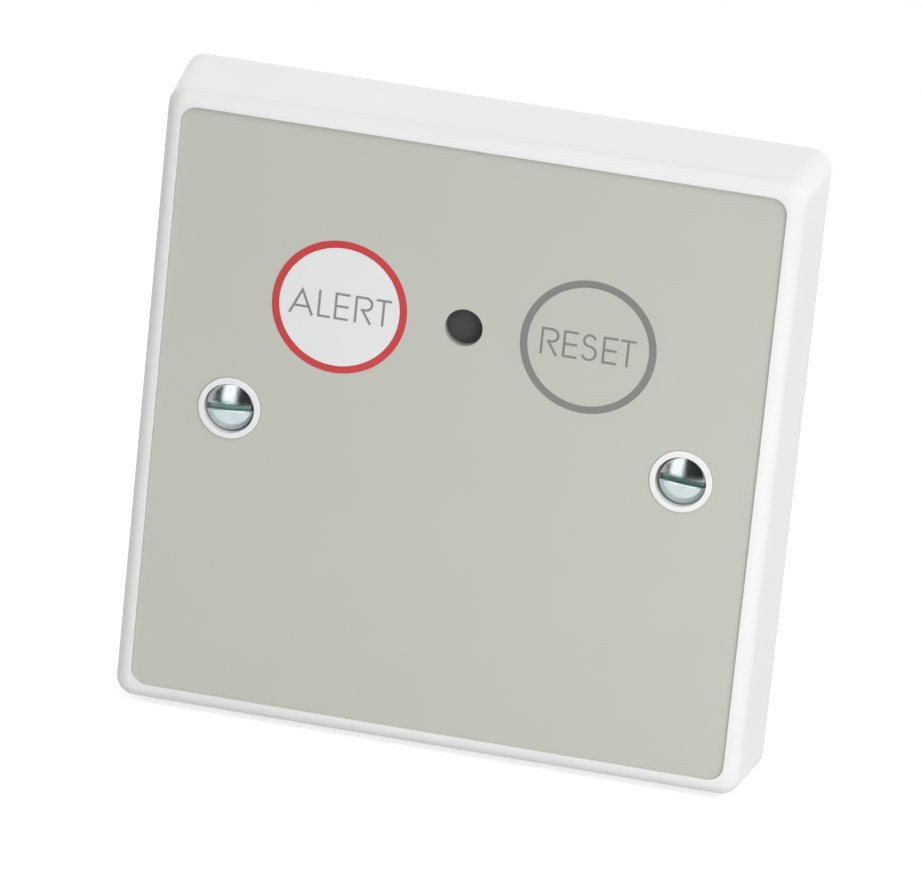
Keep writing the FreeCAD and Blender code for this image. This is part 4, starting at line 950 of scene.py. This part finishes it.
can_aluminium = surface("drawn_aluminium", (2, (208, 209, 211), (222, 223, 225)),
                        (0.4, 0.29, 0.37, 3, (1, 12, 1)), (0.15, 0.002, 2, (1, 12, 1)), metal=1.0)
dress("capacitor_can", can_aluminium)
dress("capacitor_foot", sounder_black)
can_end = circle(can_spot.x, can_spot.z, 2.6, 64)
field_edge = pad(can_spot.x - 2.15, can_spot.z, 0.85, 3.0)
field_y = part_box("capacitor_can")[1].y
field = flat_piece("capacitor_field", [can_end, field_edge], [sounder_black],
                   lambda x, z: 0 if holds(can_end, x, z) and holds(field_edge, x, z) else None,
                   field_y - print_thick * MM, field_y + print_thick * MM)
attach(field, "plate")

# Four chip resistors are cut from white ceramic. Their ends are dipped in tin, and a black glaze covers
# the rest of their tops.

glaze_end, ceramic_out = 1.15, 1.38
resistor_glaze = new_finish("resistor_glaze")
glaze_tone = colour_patches(resistor_glaze, 1 * MM, tone(30, 30, 32), tone(44, 44, 48))
gloss_patches(resistor_glaze, 0.5 * MM, 0.29, 0.42)
relief(resistor_glaze, patches(resistor_glaze, 0.3 * MM), 0.003 * MM)
at = coordinates(resistor_glaze)
up_from_row = math_node(resistor_glaze, "SUBTRACT", at["Z"], resistor_spots[0].z * MM)
from_middle = math_node(resistor_glaze, "ABSOLUTE", up_from_row)
at_end = math_node(resistor_glaze, "GREATER_THAN", from_middle, glaze_end * MM)
under_glaze = math_node(resistor_glaze, "LESS_THAN", at["Y"], -ceramic_out * MM)
body_tone = blend_tones(resistor_glaze, under_glaze, glaze_tone, tone(226, 226, 222))
shader_link(resistor_glaze, blend_tones(resistor_glaze, at_end, body_tone, tone(206, 207, 206)), "Base Color")
shader_link(resistor_glaze, at_end, "Metallic")
for number in range(1, 5):
    dress(f"resistor_{number}", resistor_glaze)

# The plate stands alone on a white sweep, as in a product picture, and gets nearly even light from all
# round, a little more from the right. The studio ahead of it is dim but for one soft strip of light, and
# the bright screws mirror both.


def card(name, corners, finish):
    """A flat card through its corners."""
    shape = bmesh.new()
    shape.faces.new([shape.verts.new(corner) for corner in corners])
    return finish_piece(name, shape, [finish])


floor_half = 0.26
floor_level = cad_box[0][2] - 0.1 * MM
dim_from, dim_to = -0.14, -0.18
floor_white = new_finish("floor_white", 0.9)
card_white = colour_patches(floor_white, 400 * MM, tone(205, 205, 205), tone(207, 207, 207))
floor_rays = add(floor_white, "ShaderNodeLightPath").outputs
dim_far = ramp(floor_white, coordinates(floor_white)["Y"], dim_from, dim_to)
dim_share = math_node(floor_white, "MULTIPLY", dim_far, floor_rays["Is Glossy Ray"])
shader_link(floor_white, blend_tones(floor_white, dim_share, card_white, tone(70, 74, 74)), "Base Color")
camera_glow = math_node(floor_white, "MULTIPLY", floor_rays["Is Camera Ray"], 0.66)
diffuse_glow = math_node(floor_white, "MULTIPLY", floor_rays["Is Diffuse Ray"], 0.07)
floor_glow = math_node(floor_white, "ADD", camera_glow, diffuse_glow)
lit_left = math_node(floor_white, "SUBTRACT", floor_rays["Is Glossy Ray"], dim_share)
mirrored_glow = math_node(floor_white, "MULTIPLY", lit_left, 0.38)
shader_link(floor_white, math_node(floor_white, "ADD", floor_glow, mirrored_glow), "Emission Strength")
shader_value(floor_white, "Emission Color", (1, 1, 1, 1))
square = ((-1, -1), (1, -1), (1, 1), (-1, 1))
floor_corners = [(floor_half * i, floor_half * j, floor_level) for i, j in square]
floor = card("floor", floor_corners, floor_white)

world = bpy.data.worlds.new("studio")
bpy.context.scene.world = world
world.use_nodes = True
for leftover in list(world.node_tree.nodes):
    world.node_tree.nodes.remove(leftover)
rays = add(world, "ShaderNodeLightPath").outputs
direction = add(world, "ShaderNodeTexCoord").outputs["Generated"]
towards = add(world, "ShaderNodeSeparateXYZ", Vector=direction).outputs
ahead = math_node(world, "MULTIPLY", towards["Y"], -1.0)
bearing = math_node(world, "DEGREES", math_node(world, "ARCTAN2", towards["X"], ahead))
rise = math_node(world, "DEGREES", math_node(world, "ARCSINE", towards["Z"]))

# What mirrors see: a dim room with a pale left wall, a bright top and a bright back
left_wall = ramp(world, bearing, -40.0, -37.0, 0.5, 0.0)
overhead = ramp(world, rise, 48.0, 66.0)
behind = ramp(world, towards["Y"], -0.15, 0.35)
lit = math_node(world, "MAXIMUM", left_wall, math_node(world, "MAXIMUM", overhead, behind))
mirrored = add(world, "ShaderNodeMapRange", Value=lit, V3=0.03, V4=1.35).outputs[0]

# What lights the object: an even level, and more from the right, the top and the back
soft_box = 0.3
for axis, level in (("X", 0.18), ("Z", 0.2), ("Y", 0.6)):
    from_there = math_node(world, "MULTIPLY", math_node(world, "MAXIMUM", towards[axis]), level)
    soft_box = math_node(world, "ADD", from_there, soft_box)
level = add(world, "ShaderNodeMix", Factor=rays["Is Glossy Ray"], A2=soft_box, B3=mirrored).outputs[0]
seen = math_node(world, "MAXIMUM", level, rays["Is Camera Ray"])
sky = add(world, "ShaderNodeBackground", Color=(1, 1, 1, 1), Strength=seen)
room = add(world, "ShaderNodeOutputWorld")
world.node_tree.links.new(sky.outputs[0], room.inputs["Surface"])

# A tall strip light stands close in front, left of the lens, and only mirrors show it. Large soft lights
# stand high on the right and low on the left, and a small one close by.

strip_away = 0.4
strip_low, strip_high = -0.1, 0.5
strip_left, strip_right = -0.225, -0.01
strip_bright, strip_dim = 1.35, 0.03
left_fade, right_fade = 0.03, 0.04
strip_glow = new_finish("strip_glow")
across = coordinates(strip_glow)["X"]
glow = math_node(strip_glow, "MULTIPLY", ramp(strip_glow, across, strip_left, strip_left + left_fade),
                 ramp(strip_glow, across, strip_right - right_fade, strip_right, strip_bright, strip_dim))
shader_link(strip_glow, glow, "Emission Strength")
shader_value(strip_glow, "Emission Color", (1, 1, 1, 1))
shader_value(strip_glow, "Base Color", (0, 0, 0, 1))
strip_corners = ((strip_left, strip_low), (strip_right, strip_low),
                 (strip_right, strip_high), (strip_left, strip_high))
strip = card("strip_light", [(x, -strip_away, z) for x, z in strip_corners], strip_glow)
strip.visible_camera = strip.visible_diffuse = strip.visible_shadow = strip.visible_transmission = False


def soft_lamp(name, azimuth, elevation, distance, wide, tall, power):
    """A soft light that faces the plate from a bearing right of its front, seen neither by the lens nor in
    mirrors."""
    turned, raised = math.radians(azimuth), math.radians(elevation)
    level_part = math.cos(raised)
    out = Vector((math.sin(turned) * level_part, -math.cos(turned) * level_part, math.sin(raised)))
    light = bpy.data.lights.new(name, "AREA")
    light.shape = "RECTANGLE"
    light.size, light.size_y = wide, tall
    light.energy = power
    lamp = bpy.data.objects.new(name, light)
    lamp.location = out * distance
    lamp.rotation_euler = (-out).to_track_quat("-Z", "Y").to_euler()
    lamp.visible_glossy = lamp.visible_camera = False
    bpy.context.scene.collection.objects.link(lamp)


key_power, fill_power, near_power = 9.0, 0.8, 0.13
soft_lamp("key_light", 35, 42, 1.4, 0.9, 0.9, key_power)
soft_lamp("fill_light", -30, 8, 1.4, 1.0, 0.35, fill_power)
soft_lamp("near_light", 30, 0, 0.26, 0.1, 0.07, near_power)

# The camera has a long lens. It stands a little right of the plate and above it, and is tilted, as the
# plate was photographed.

image_wide = 922
sensor_wide = 36.0
focal_pixels = 8563.7
eye = Vector((188.51, -1049.17, 360.60)) * MM
aim = Vector((0.87, -13.95, 0.66)) * MM
roll = 5.90
lens = bpy.data.cameras.new("product_lens")
lens.sensor_width = sensor_wide
lens.sensor_fit = "HORIZONTAL"
lens.lens = focal_pixels * sensor_wide / image_wide
lens.clip_start, lens.clip_end = 0.05, 20.0
camera = bpy.data.objects.new("product_camera", lens)
look = (aim - eye).to_track_quat("-Z", "Y")
tilt = Matrix.Rotation(math.radians(roll), 4, "Z")
camera.matrix_world = Matrix.Translation(eye) @ look.to_matrix().to_4x4() @ tilt
bpy.context.scene.collection.objects.link(camera)
bpy.context.scene.camera = camera
bpy.context.scene.view_settings.view_transform = "Standard"
